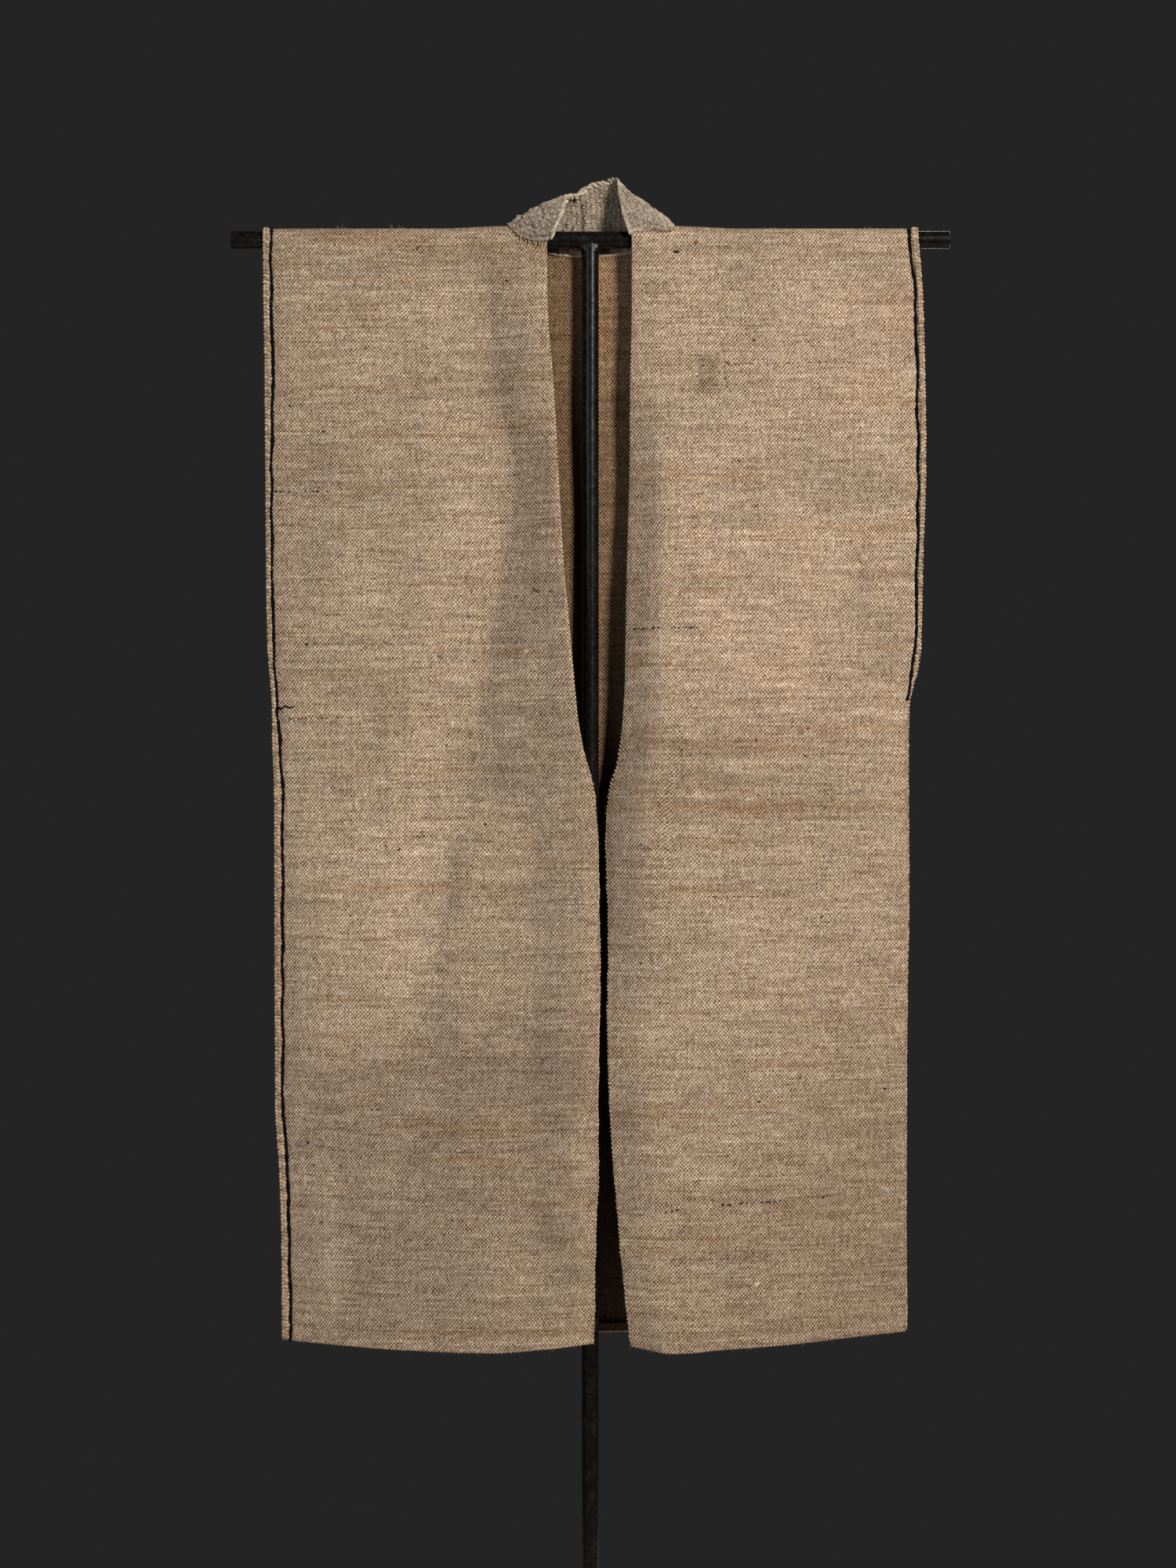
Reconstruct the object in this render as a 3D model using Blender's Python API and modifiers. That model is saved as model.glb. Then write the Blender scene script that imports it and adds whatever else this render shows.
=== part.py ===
"""Sleeveless work coat of thick handwoven cloth, hanging on a blackened steel T stand.

The coat is two loom-width lengths of cloth. Each runs from the front hem over the crossbar
to the back hem, with no shoulder seam, and they meet in a seam down the middle of the back.
Each length is two solids here, a front and a back, which part along the top of the crossbar.
A quilted band collar is sewn round the back of the neck slash.

Origin: middle of the underside of the base plate. +Z is up and the open front faces -Y.
Names with left and right are those of a viewer who stands in front of the coat.
Lengths in the tables are millimetres. Blender's unit is the metre.
"""

import math

import bmesh
import bpy
from mathutils import Vector

MM = 0.001

# Stand
BASE_SIDE = 300.0 * MM
BASE_THICKNESS = 8.0 * MM
BASE_CORNER_RADIUS = 12.0 * MM
BASE_EDGE_ROUND = 1.2 * MM
ROD_RADIUS = 8.0 * MM
CROSSBAR_LENGTH = 680.0 * MM
CROSSBAR_END_ROUND = 0.7 * MM
ROD_AXIS_HEIGHT = 1500.0 * MM
STEEL_GAP = 0.3 * MM
ROUND_SIDES = 32
WELD_SPREAD = 5.5 * MM
WELD_HEIGHT = 10.0 * MM
WELD_HALF_DEPTH = 7.2 * MM
WELD_SECTIONS = 5
WELD_FLARE = 0.95
ARC_SIDES = 6
ROUND_STEPS = 2
SHARP_ANGLE = math.radians(40.0)

# Cloth
CLOTH_WALL = 2.2
SEAM_GAP = 0.3
ROD_CLEARANCE = 0.45
HEM_TURN_UP = 10.0
TURN_STEP = 0.3
BACK_SEAM_ALLOWANCE = 8.0
NECK_FOLD_TOP = 44.0
NECK_FOLD_END = 542.0
NECK_FOLD_FALL = 1.5
NECK_FOLD_LEAST = 3.0
NECK_FOLD_MARGIN = 3.0

INNER_RADIUS = ROD_RADIUS / MM + ROD_CLEARANCE
OUTER_RADIUS = INNER_RADIUS + CLOTH_WALL
SHOULDER_QUARTER = OUTER_RADIUS * math.pi / 2.0

# Neck slash: how far it reaches from the middle, and how far down its edges lie,
# measured along the cloth from the top of the shoulder
SLASH_REACH = 74.0
SLASH_FRONT_WIDTH = ((0.0, 33.2), (60.0, 52.0), (140.0, 60.0))
NECK_FRONT_PATH = 12.5
NECK_BACK_PATH = 26.3
NECK_FALL = 2.4
NECK_ROUND = 0.55

# The collar lifts the cloth off the crossbar near the ends of the slash
SHOULDER_LIFT = 2.4
SHOULDER_LIFT_WIDTH = 70.0

# Collar
COLLAR_WALL = 3.0
COLLAR_REACH = 78.5
COLLAR_FRONT_PATH = 17.2
COLLAR_BACK_PATH = 31.0
COLLAR_STEPS_PER_QUARTER = 15
COLLAR_ROWS = 5
COLLAR_SWELL_LEAN = 0.8

# Heights of the rows of the cloth, as drops below the axis of the crossbar. The rows near the
# hem follow it; their widths are read at a level hem. Two more rows lie beside the parting of
# front and back, at lengths along the cloth from the top of the shoulder.
SHOULDER_STEPS = 4
PARTING_PATHS = (0.3, 0.8)
LEVEL_HEM_DROP = 1040.0
ROW_DROPS = (16, 45, 85, 125, 165, 210, 255, 300, 345, 390, 418, 440, 470, 500, 530, 546,
             590, 640, 700, 760, 820, 880, 930, 985)
NECK_ROW_COUNT = len(PARTING_PATHS) + SHOULDER_STEPS

# Columns of the cloth between the seam line and the neck slash, as shares of that width
PANEL_COLUMNS = (0.0, 0.12, 0.28, 0.46, 0.64, 0.82, 1.0)

# Columns between the slash's corner and the turned-under edge, as shares of that width
FRONT_FREE_COLUMNS = (0.5,)
BACK_FREE_COLUMNS = (0.08, 0.25, 0.55)

# One row for each section. drop: below the axis of the crossbar. seam: the sewn line near the
# side edge, and inner: the edge at the front opening or the middle of the back, both as
# distances out from the middle plane. flange: the cloth beyond the sewn line. turn: how far
# the flange is turned to the back, in degrees. d_seam to d_inner: clear depth from the plane
# of the crossbar to the inside of the cloth, at six shares of the width.
# TOUCH: the cloths lie together. TURNED: the seam allowance between them is turned back.
SECTION_COLUMNS = ("drop", "seam", "flange", "turn", "inner",
                   "d_seam", "d_15", "d_40", "d_65", "d_85", "d_inner")
DEPTH_COLUMNS = ("d_seam", "d_15", "d_40", "d_65", "d_85", "d_inner")
DEPTH_SHARES = (0.0, 0.15, 0.40, 0.65, 0.85, 1.0)
TOUCH = SEAM_GAP / 2.0
TURNED = 0.9
AXIS = INNER_RADIUS

LEFT_FRONT = (
    (0, 301.8, 7.0, 0, 40.8, AXIS, AXIS, AXIS, AXIS, 10, 11),
    (60, 301.1, 7.2, 0, 40.4, 8.3, 8.5, 9, 10, 9.5, 12),
    (140, 299.8, 7.4, 0, 34.0, 7.5, 9, 12, 14, 13, 18),
    (220, 301.1, 5.5, 0, 29.5, 6.5, 9.5, 15, 19, 18, 24),
    (300, 300.7, 5.4, 0, 24.3, 5.5, 10, 18, 22, 23, 30),
    (380, 299.3, 5.8, 0, 16.9, 4, 10, 20, 23, 28, 33),
    (440, 296.6, 4.5, 0, 12.8, TOUCH, 10, 21, 24, 31, 34),
    (480, 293.6, 7.0, 0, 7.0, TOUCH, 11, 22, 25, 33, 34),
    (530, 291.3, 7.6, 0, -5.8, TOUCH, 12, 23, 27, 35, 34),
    (620, 291.2, 7.5, 0, -9.7, TOUCH, 14, 25, 33, 37, 33),
    (720, 291.1, 7.3, 0, -10.9, TOUCH, 16, 28, 37, 37, 31),
    (820, 290.8, 7.1, 0, -9.6, TOUCH, 18, 32, 40, 37, 29),
    (880, 286.6, 7.6, 0, -10.2, TOUCH, 19, 34, 42, 37, 28),
    (930, 285.3, 7.0, 0, -6.8, TOUCH, 20, 36, 43, 37, 26),
    (1045, 283.1, 8.3, 0, -2.8, TOUCH, 22, 40, 46, 38, 22),
)

RIGHT_FRONT = (
    (0, 301.2, 8.1, 0, 38.7, AXIS, AXIS, AXIS, AXIS, 10, 11),
    (60, 306.5, 7.2, 0, 38.5, 8.3, 8.5, 9, 10, 11, 11),
    (140, 308.0, 7.8, 0, 36.5, 7.5, 9, 12, 14, 15, 13),
    (220, 307.7, 9.0, 0, 35.1, 6.5, 9.5, 15, 19, 20, 15),
    (300, 307.3, 5.8, 0, 32.4, 5.5, 10, 18, 24, 26, 17),
    (380, 306.3, 5.0, 10, 30.0, 4, 10, 20, 28, 31, 19),
    (440, 298.2, 6.5, 75, 28.0, TOUCH, 10, 22, 31, 35, 21),
    (480, 297.6, 7.0, 85, 25.5, TOUCH, 11, 23, 32, 37, 22),
    (530, 297.7, 7.0, 85, 16.6, TOUCH, 12, 24, 33, 38, 23),
    (620, 298.0, 7.0, 85, 15.2, TOUCH, 13, 26, 35, 40, 26),
    (720, 296.4, 7.0, 85, 16.0, TOUCH, 14, 28, 37, 42, 31),
    (820, 295.8, 7.0, 85, 16.8, TOUCH, 14, 30, 39, 43, 34),
    (880, 295.6, 7.0, 85, 20.2, TOUCH, 14, 31, 41, 44, 34),
    (930, 295.5, 7.0, 85, 26.4, TOUCH, 14, 32, 42, 45, 34),
    (1045, 296.5, 7.0, 85, 39.6, TOUCH, 14, 34, 46, 49, 33),
)

LEFT_BACK = (
    (0, 301.8, 7.0, 0, TOUCH, AXIS, AXIS, AXIS, AXIS, 11, 14),
    (60, 302.0, 7.0, 0, TOUCH, 8.3, 8.5, 9, 10, 11, 14),
    (140, 302.0, 7.0, 0, TOUCH, 7.5, 9, 12, 13, 13, 15),
    (220, 301.8, 6.5, 0, TOUCH, 6.5, 10, 15, 16, 15, 17),
    (300, 301.0, 6.5, 0, TOUCH, 5.5, 11, 18, 19, 17, 19),
    (380, 299.6, 6.0, 0, TOUCH, 4, 11, 20, 22, 20, 21),
    (440, 296.6, 4.5, 0, TOUCH, TOUCH, 11, 22, 25, 22, 22),
    (480, 293.6, 7.0, 0, TOUCH, TOUCH, 12, 24, 27, 23, 23),
    (530, 291.3, 7.6, 0, TOUCH, TOUCH, 12, 25, 28, 24, 24),
    (620, 291.2, 7.5, 0, TOUCH, TOUCH, 13, 28, 31, 26, 25),
    (720, 291.1, 7.3, 0, TOUCH, TOUCH, 14, 31, 35, 28, 27),
    (820, 290.8, 7.1, 0, TOUCH, TOUCH, 15, 34, 39, 31, 29),
    (880, 286.6, 7.6, 0, TOUCH, TOUCH, 15, 35, 41, 33, 30),
    (930, 285.3, 7.0, 0, TOUCH, TOUCH, 16, 37, 43, 34, 31),
    (1045, 283.1, 8.3, 0, TOUCH, TOUCH, 17, 40, 47, 37, 33),
)

RIGHT_BACK = (
    (0, 301.2, 8.1, 0, TOUCH, AXIS, AXIS, AXIS, AXIS, 11, 14),
    (60, 303.5, 7.2, 0, TOUCH, 8.3, 8.5, 9, 10, 11, 14),
    (140, 304.5, 7.8, 0, TOUCH, 7.5, 9, 12, 14, 14, 15),
    (220, 304.5, 7.5, 0, TOUCH, 6.5, 10, 14, 17, 17, 17),
    (300, 304.0, 5.8, 0, TOUCH, 5.5, 11, 16, 20, 20, 19),
    (380, 303.0, 5.0, 10, TOUCH, 4, 11, 18, 23, 23, 21),
    (440, 298.2, 6.5, 75, TOUCH, TURNED, 12, 21, 26, 25, 22),
    (480, 297.6, 7.0, 85, TOUCH, TURNED, 13, 23, 28, 26, 23),
    (530, 297.7, 7.0, 85, TOUCH, TURNED, 14, 25, 29, 27, 24),
    (620, 298.0, 7.0, 85, TOUCH, TURNED, 16, 28, 32, 28, 25),
    (720, 296.4, 7.0, 85, TOUCH, TURNED, 18, 32, 35, 30, 27),
    (820, 295.8, 7.0, 85, TOUCH, TURNED, 20, 36, 38, 32, 29),
    (880, 295.6, 7.0, 85, TOUCH, TURNED, 21, 38, 40, 33, 30),
    (930, 295.5, 7.0, 85, TOUCH, TURNED, 22, 40, 42, 34, 31),
    (1045, 296.5, 7.0, 85, TOUCH, TURNED, 24, 44, 46, 36, 33),
)

# Drop of the lowest edge of each panel at the six shares of its width
HEM_DROPS = {
    "left_front": (1042.0, 1042.8, 1045.4, 1046.6, 1044.5, 1041.6),
    "left_back": (1042.0, 1041.6, 1041.0, 1040.6, 1040.2, 1039.8),
    "right_front": (1033.7, 1035.9, 1039.9, 1043.3, 1046.7, 1042.4),
    "right_back": (1033.7, 1034.4, 1036.2, 1038.2, 1039.4, 1039.8),
}

# The collar's free edge. turn: -2 and 2 are the front ends, -1 and 1 the shoulder corners and
# 0 the middle of the back. across, behind and above: place from the middle of the crossbar.
# swell: how far the band rounds outwards between its sewn edge and its free edge.
COLLAR_COLUMNS = ("turn", "across", "behind", "above", "swell")
COLLAR_EDGE = (
    (-2.0, -37.5, -13.4, 3.0, 0.0),
    (-1.8, -34.5, -13.2, 9.0, 1.0),
    (-1.6, -31.0, -12.4, 17.0, 2.5),
    (-1.4, -27.6, -10.5, 23.0, 4.5),
    (-1.2, -25.2, -7.0, 30.5, 6.5),
    (-1.0, -23.0, -2.0, 38.0, 8.0),
    (-0.8, -19.0, 4.0, 42.5, 8.0),
    (-0.6, -13.0, 9.0, 46.0, 6.5),
    (-0.4, -6.5, 13.0, 51.0, 5.0),
    (-0.2, 0.5, 16.5, 54.8, 4.0),
    (0.0, 8.0, 19.0, 56.8, 3.5),
    (0.2, 14.0, 20.5, 59.0, 3.0),
    (0.4, 19.5, 19.0, 60.8, 3.0),
    (0.6, 24.0, 15.0, 61.0, 2.5),
    (0.8, 26.8, 8.5, 58.0, 2.0),
    (1.0, 27.4, 1.0, 49.5, 2.0),
    (1.2, 28.0, -5.0, 38.0, 2.0),
    (1.4, 29.8, -9.0, 27.0, 1.5),
    (1.6, 32.2, -11.6, 16.5, 1.0),
    (1.8, 34.8, -13.2, 8.0, 0.5),
    (2.0, 36.6, -13.6, 2.6, 0.0),
)


def clear_scene():
    """Remove whatever the file holds at the start."""
    for item in list(bpy.data.objects):
        bpy.data.objects.remove(item, do_unlink=True)


def make_collection(name):
    """A new collection under the scene."""
    collection = bpy.data.collections.new(name)
    bpy.context.scene.collection.children.link(collection)
    return collection


def make_material(name, colour, roughness, metallic):
    """A Principled material."""
    material = bpy.data.materials.new(name)
    material.use_nodes = True
    shader = material.node_tree.nodes["Principled BSDF"]
    shader.inputs["Base Color"].default_value = (*colour, 1.0)
    shader.inputs["Roughness"].default_value = roughness
    shader.inputs["Metallic"].default_value = metallic
    material.diffuse_color = (*colour, 1.0)
    return material


def place(item, collection, material=None, parent=None):
    """Put an object in its collection, give it its material and hang it on its parent."""
    for old in list(item.users_collection):
        old.objects.unlink(item)
    collection.objects.link(item)
    if material is not None:
        item.data.materials.append(material)
    if parent is not None:
        item.parent = parent
    return item


def mesh_object(name, points, faces):
    """An object from points in metres and faces."""
    mesh = bpy.data.meshes.new(name)
    mesh.from_pydata(points, [], faces)
    mesh.update()
    return bpy.data.objects.new(name, mesh)


def shade_round(item):
    """Smooth shading with sharp edges kept."""
    item.data.shade_smooth()
    item.data.set_sharp_from_angle(angle=SHARP_ANGLE)


def round_edges(item, width):
    """Small round on the sharp edges of a steel part."""
    rounding = item.modifiers.new("edge_round", "BEVEL")
    rounding.width = width
    rounding.segments = ROUND_STEPS
    rounding.limit_method = "ANGLE"
    rounding.angle_limit = SHARP_ANGLE


def soft_value(knots, values, at):
    """Value at a place between the rows of a table, smooth and without overshoot."""
    if at <= knots[0]:
        return values[0]
    if at >= knots[-1]:
        return values[-1]
    steps = [b - a for a, b in zip(knots, knots[1:])]
    slopes = [(b - a) / step for a, b, step in zip(values, values[1:], steps)]
    index = max(k for k in range(len(steps)) if knots[k] <= at)

    def lean(k):
        if k == 0:
            return slopes[0]
        if k == len(slopes):
            return slopes[-1]
        before, after = slopes[k - 1], slopes[k]
        if before * after <= 0.0:
            return 0.0
        weight_before = 2.0 * steps[k] + steps[k - 1]
        weight_after = steps[k] + 2.0 * steps[k - 1]
        return (weight_before + weight_after) / (weight_before / before + weight_after / after)

    step = steps[index]
    share = (at - knots[index]) / step
    rest = 1.0 - share
    start = values[index] * (1.0 + 2.0 * share) * rest * rest
    end = values[index + 1] * (3.0 - 2.0 * share) * share * share
    lift = step * share * rest * (lean(index) * rest - lean(index + 1) * share)
    return start + end + lift


def table_row(columns, table, at):
    """All columns of a table at one place, by name. The first column is the place."""
    knots = [row[0] for row in table]
    values = {}
    for number, name in enumerate(columns[1:], start=1):
        values[name] = soft_value(knots, [row[number] for row in table], at)
    return values


class Panel:
    """One hanging stretch of cloth: a front or a back of one loom-width length."""

    def __init__(self, side, facing, table, hem):
        self.side = side
        self.facing = facing
        self.table = table
        self.hem = hem

    def section(self, drop):
        return table_row(SECTION_COLUMNS, self.table, max(drop, 0.0))

    def width_past_slash(self, drop):
        """Width from the column of the slash's corner to the inner edge."""
        if self.facing > 0:
            return SLASH_REACH
        knots = [row[0] for row in SLASH_FRONT_WIDTH]
        return soft_value(knots, [row[1] for row in SLASH_FRONT_WIDTH], max(drop, 0.0))

    def depth(self, section, out):
        """Clear depth inside the cloth at a distance out from the middle.

        The seam allowance in the middle of the back lies flat.
        """
        flat = BACK_SEAM_ALLOWANCE + TURN_STEP if self.facing > 0 else 0.0
        share = (section["seam"] - out) / (section["seam"] - section["inner"] - flat)
        return soft_value(DEPTH_SHARES, [section[name] for name in DEPTH_COLUMNS], share)

    def hem_drop(self, share):
        return soft_value(DEPTH_SHARES, self.hem, share)

    def lift(self, out):
        """How far the top of the shoulder stands above its height further out."""
        share = min(max((out - SLASH_REACH) / SHOULDER_LIFT_WIDTH, 0.0), 1.0)
        return SHOULDER_LIFT * (1.0 - share) ** 2 * (1.0 + 2.0 * share)

    def point(self, out, path, on_flange=None):
        """Outer surface of the cloth at a distance out and a length below the shoulder.

        on_flange is None on the panel, 0 on the sewn line and 1 on the side edge.
        """
        if path < SHOULDER_QUARTER:
            angle = path / OUTER_RADIUS
            swing = math.sin(angle)
            drop = -(OUTER_RADIUS + self.lift(out)) * math.cos(angle)
        else:
            swing = 1.0
            drop = path - SHOULDER_QUARTER
        section = self.section(drop)
        if on_flange is None:
            behind = self.facing * (self.depth(section, out) + CLOTH_WALL)
            return (self.side * out * MM, behind * swing * MM, -drop * MM)
        turn = math.radians(section["turn"])
        offset = (section["d_seam"] + CLOTH_WALL) * self.facing
        if on_flange == 0:
            out = section["seam"] - offset * math.tan(turn / 2.0)
            behind = offset
        else:
            out = section["seam"] + section["flange"] * math.cos(turn) - offset * math.sin(turn)
            behind = section["flange"] * math.sin(turn) + offset * math.cos(turn)
        return (self.side * out * MM, behind * swing * MM, -drop * MM)


def neck_path(facing, share, front_path, back_path):
    """Length below the shoulder of the neck edge, from 0 at the corner to 1 at the middle."""
    deepest = back_path if facing > 0 else front_path
    return deepest * (1.0 - (1.0 - share) ** NECK_FALL) ** NECK_ROUND


def row_paths(hem_drop):
    """Lengths below the shoulder of every row of a column that ends at hem_drop."""
    steps = range(1, SHOULDER_STEPS + 1)
    over_shoulder = [SHOULDER_QUARTER * step / SHOULDER_STEPS for step in steps]
    drops = [*ROW_DROPS, hem_drop - HEM_TURN_UP - TURN_STEP, hem_drop - HEM_TURN_UP, hem_drop]
    return [*PARTING_PATHS, *over_shoulder, *(SHOULDER_QUARTER + drop for drop in drops)]


def neck_fold_width(drop, room):
    """Width of the cloth turned under along the front opening."""
    share = min(max(drop / NECK_FOLD_END, 0.0), 1.0)
    width = NECK_FOLD_TOP * (1.0 - share ** NECK_FOLD_FALL)
    return max(min(width, room - NECK_FOLD_MARGIN), NECK_FOLD_LEAST)


def inner_columns(panel, drop):
    """Distances out, from the slash's corner to the inner edge, and which are folded double."""
    section = panel.section(drop)
    edge = section["inner"]
    room = panel.width_past_slash(drop)
    if panel.facing > 0:
        fold = BACK_SEAM_ALLOWANCE
        doubled = True
    else:
        fold = neck_fold_width(drop, room)
        doubled = ROW_DROPS[0] <= drop < NECK_FOLD_END
    free = room - fold - TURN_STEP
    shares = BACK_FREE_COLUMNS if panel.facing > 0 else FRONT_FREE_COLUMNS
    outs = [edge + room - free * share for share in shares]
    outs += [edge + fold + TURN_STEP, edge + fold, edge + fold / 2.0, edge]
    return outs, [False] * (len(shares) + 1) + [doubled] * 3


def panel_grid(panel):
    """Points and folded-double marks of one panel by column and row, and its last of each."""
    points = {}
    double = {}
    hem_row = len(row_paths(LEVEL_HEM_DROP)) - 1
    main_count = len(PANEL_COLUMNS)
    last_column = main_count + len(inner_columns(panel, 0.0)[0]) - 1
    for column in range(-1, last_column + 1):
        for row in range(hem_row + 1):
            drop = row_paths(LEVEL_HEM_DROP)[row] - SHOULDER_QUARTER
            section = panel.section(drop)
            slash = section["inner"] + panel.width_past_slash(drop)
            folded = False
            if column < main_count:
                share = PANEL_COLUMNS[max(column, 0)]
                out = section["seam"] + (slash - section["seam"]) * share
                flange = {-1: 1, 0: 0}.get(column)
            else:
                outs, marks = inner_columns(panel, drop)
                out = outs[column - main_count]
                folded = marks[column - main_count]
                flange = None
            across = (section["seam"] - out) / (section["seam"] - section["inner"])
            path = row_paths(panel.hem_drop(across))[row]
            if column >= main_count and row <= NECK_ROW_COUNT:
                neck_share = (slash - out) / (slash - section["inner"])
                start = neck_path(panel.facing, neck_share, NECK_FRONT_PATH, NECK_BACK_PATH)
                last = SHOULDER_QUARTER + ROW_DROPS[0]
                path = start + (last - start) * path / last
            in_hem = row >= hem_row - 1 and column > 0
            points[column, row] = panel.point(out, path, flange)
            double[column, row] = folded or in_hem
    return points, double, last_column, hem_row


def panel_sheet(panel):
    """Points and faces of one panel, and which of its points are folded double."""
    grid, double, last_column, hem_row = panel_grid(panel)
    index = {}
    points = []
    folded_points = []
    for key, place_at in grid.items():
        index[key] = len(points)
        if double[key]:
            folded_points.append(len(points))
        points.append(place_at)
    faces = []
    for column in range(-1, last_column):
        for row in range(hem_row):
            face = (index[column, row], index[column, row + 1],
                    index[column + 1, row + 1], index[column + 1, row])
            faces.append(face if panel.side * panel.facing > 0 else face[::-1])
    return points, faces, folded_points


def cloth_length(name, side, tables, collection, material, parent):
    """One loom-width length as a front and a back solid, each a sheet given its wall."""
    panels = []
    for half, facing, table in zip(("front", "back"), (-1, 1), tables):
        full_name = name + "_" + half
        panel = Panel(side, facing, table, HEM_DROPS[full_name])
        points, faces, folded_points = panel_sheet(panel)
        item = mesh_object("body_" + full_name, points, faces)
        folded = item.vertex_groups.new(name="folded_double")
        folded.add(folded_points, 1.0, "REPLACE")
        place(item, collection, material, parent)
        wall = item.modifiers.new("wall", "SOLIDIFY")
        wall.thickness = 2.0 * CLOTH_WALL * MM
        wall.offset = -1.0
        wall.vertex_group = folded.name
        wall.thickness_vertex_group = 0.5
        wall.use_even_offset = True
        item.data.shade_smooth()
        panels.append(panel)
    return panels


def collar_seam_point(panels, turn):
    """Inside of the collar at its sewn edge, clear of the cloth that it is sewn on."""
    side = -1 if turn < 0 else 1
    is_back = abs(turn) < 1.0
    front, back = panels[side]
    panel = back if is_back else front
    inner = 0.0 if is_back else panel.section(0.0)["inner"]
    share = 1.0 - math.cos(abs(abs(turn) - 1.0) * math.pi / 2.0)
    out = COLLAR_REACH - (COLLAR_REACH - inner) * share
    path = neck_path(panel.facing, share, COLLAR_FRONT_PATH, COLLAR_BACK_PATH)
    surface = Vector(panel.point(out, path)) / MM
    if path < SHOULDER_QUARTER:
        away = Vector((0.0, surface.y, surface.z)).normalized()
    else:
        away = Vector((0.0, panel.facing, 0.0))
    return surface + away * SEAM_GAP


def quilted_collar(panels, collection, material, parent):
    """A band lofted from its sewn edge to its free edge, given its wall by Solidify."""
    count = 4 * COLLAR_STEPS_PER_QUARTER
    turns = [-2.0 + 4.0 * step / count for step in range(count + 1)]
    sewn = [collar_seam_point(panels, turn) for turn in turns]
    points = []
    for step, turn in enumerate(turns):
        row = table_row(COLLAR_COLUMNS, COLLAR_EDGE, turn)
        free = Vector((row["across"], row["behind"], row["above"]))
        along = sewn[min(step + 1, count)] - sewn[max(step - 1, 0)]
        away = (free - sewn[step]).cross(along).normalized()
        for level in range(COLLAR_ROWS + 1):
            share = level / COLLAR_ROWS
            swell = row["swell"] * math.sin(math.pi * share ** COLLAR_SWELL_LEAN)
            points.append((sewn[step].lerp(free, share) + away * swell) * MM)
    faces = []
    for step in range(count):
        for level in range(COLLAR_ROWS):
            corner = step * (COLLAR_ROWS + 1) + level
            above = corner + COLLAR_ROWS + 1
            faces.append((corner, corner + 1, above + 1, above))
    item = mesh_object("collar", points, faces)
    place(item, collection, material, parent)
    wall = item.modifiers.new("wall", "SOLIDIFY")
    wall.thickness = COLLAR_WALL * MM
    wall.offset = 1.0
    wall.use_even_offset = True
    item.data.shade_smooth()
    return item


def base_plate(collection, material):
    """Square steel plate with rounded corners and a small round on its edges."""
    mesh = bpy.data.meshes.new("base_plate")
    shape = bmesh.new()
    bmesh.ops.create_cube(shape, size=1.0)
    bmesh.ops.scale(shape, vec=(BASE_SIDE, BASE_SIDE, BASE_THICKNESS), verts=shape.verts)
    uprights = [edge for edge in shape.edges
                if abs(edge.verts[0].co.z - edge.verts[1].co.z) > BASE_THICKNESS / 2.0]
    bmesh.ops.bevel(shape, geom=uprights, offset=BASE_CORNER_RADIUS, segments=ARC_SIDES,
                    profile=0.5, affect="EDGES")
    shape.to_mesh(mesh)
    shape.free()
    item = place(bpy.data.objects.new("base_plate", mesh), collection, material)
    item.location = (0.0, 0.0, BASE_THICKNESS / 2.0)
    round_edges(item, BASE_EDGE_ROUND)
    shade_round(item)
    return item


def round_bar(name, radius, length, collection, material=None):
    """Round bar along X, centred."""
    mesh = bpy.data.meshes.new(name)
    shape = bmesh.new()
    bmesh.ops.create_cone(shape, cap_ends=True, segments=ROUND_SIDES, radius1=radius,
                          radius2=radius, depth=length)
    shape.to_mesh(mesh)
    shape.free()
    item = place(bpy.data.objects.new(name, mesh), collection, material)
    item.rotation_euler = (0.0, math.pi / 2.0, 0.0)
    return item


def crossbar(collection, material, parent):
    """The round bar that the coat hangs over."""
    item = round_bar("crossbar", ROD_RADIUS, CROSSBAR_LENGTH, collection, material)
    item.parent = parent
    round_edges(item, CROSSBAR_END_ROUND)
    shade_round(item)
    return item


def post_sections():
    """Height, half width and half depth of the post's sections, with the weld at its head."""
    underside = ROD_AXIS_HEIGHT - ROD_RADIUS
    weld_start = underside - WELD_HEIGHT
    sections = [(BASE_THICKNESS + STEEL_GAP, ROD_RADIUS, ROD_RADIUS)]
    for step in range(WELD_SECTIONS + 1):
        share = step / WELD_SECTIONS
        spread = WELD_SPREAD * (1.0 - math.sqrt(1.0 - (WELD_FLARE * share) ** 2))
        half_depth = ROD_RADIUS + (WELD_HALF_DEPTH - ROD_RADIUS) * share
        sections.append((weld_start + WELD_HEIGHT * share, ROD_RADIUS + spread, half_depth))
    head_width = sections[-1][1]
    sections.append((ROD_AXIS_HEIGHT, head_width, WELD_HALF_DEPTH))
    return sections


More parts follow.
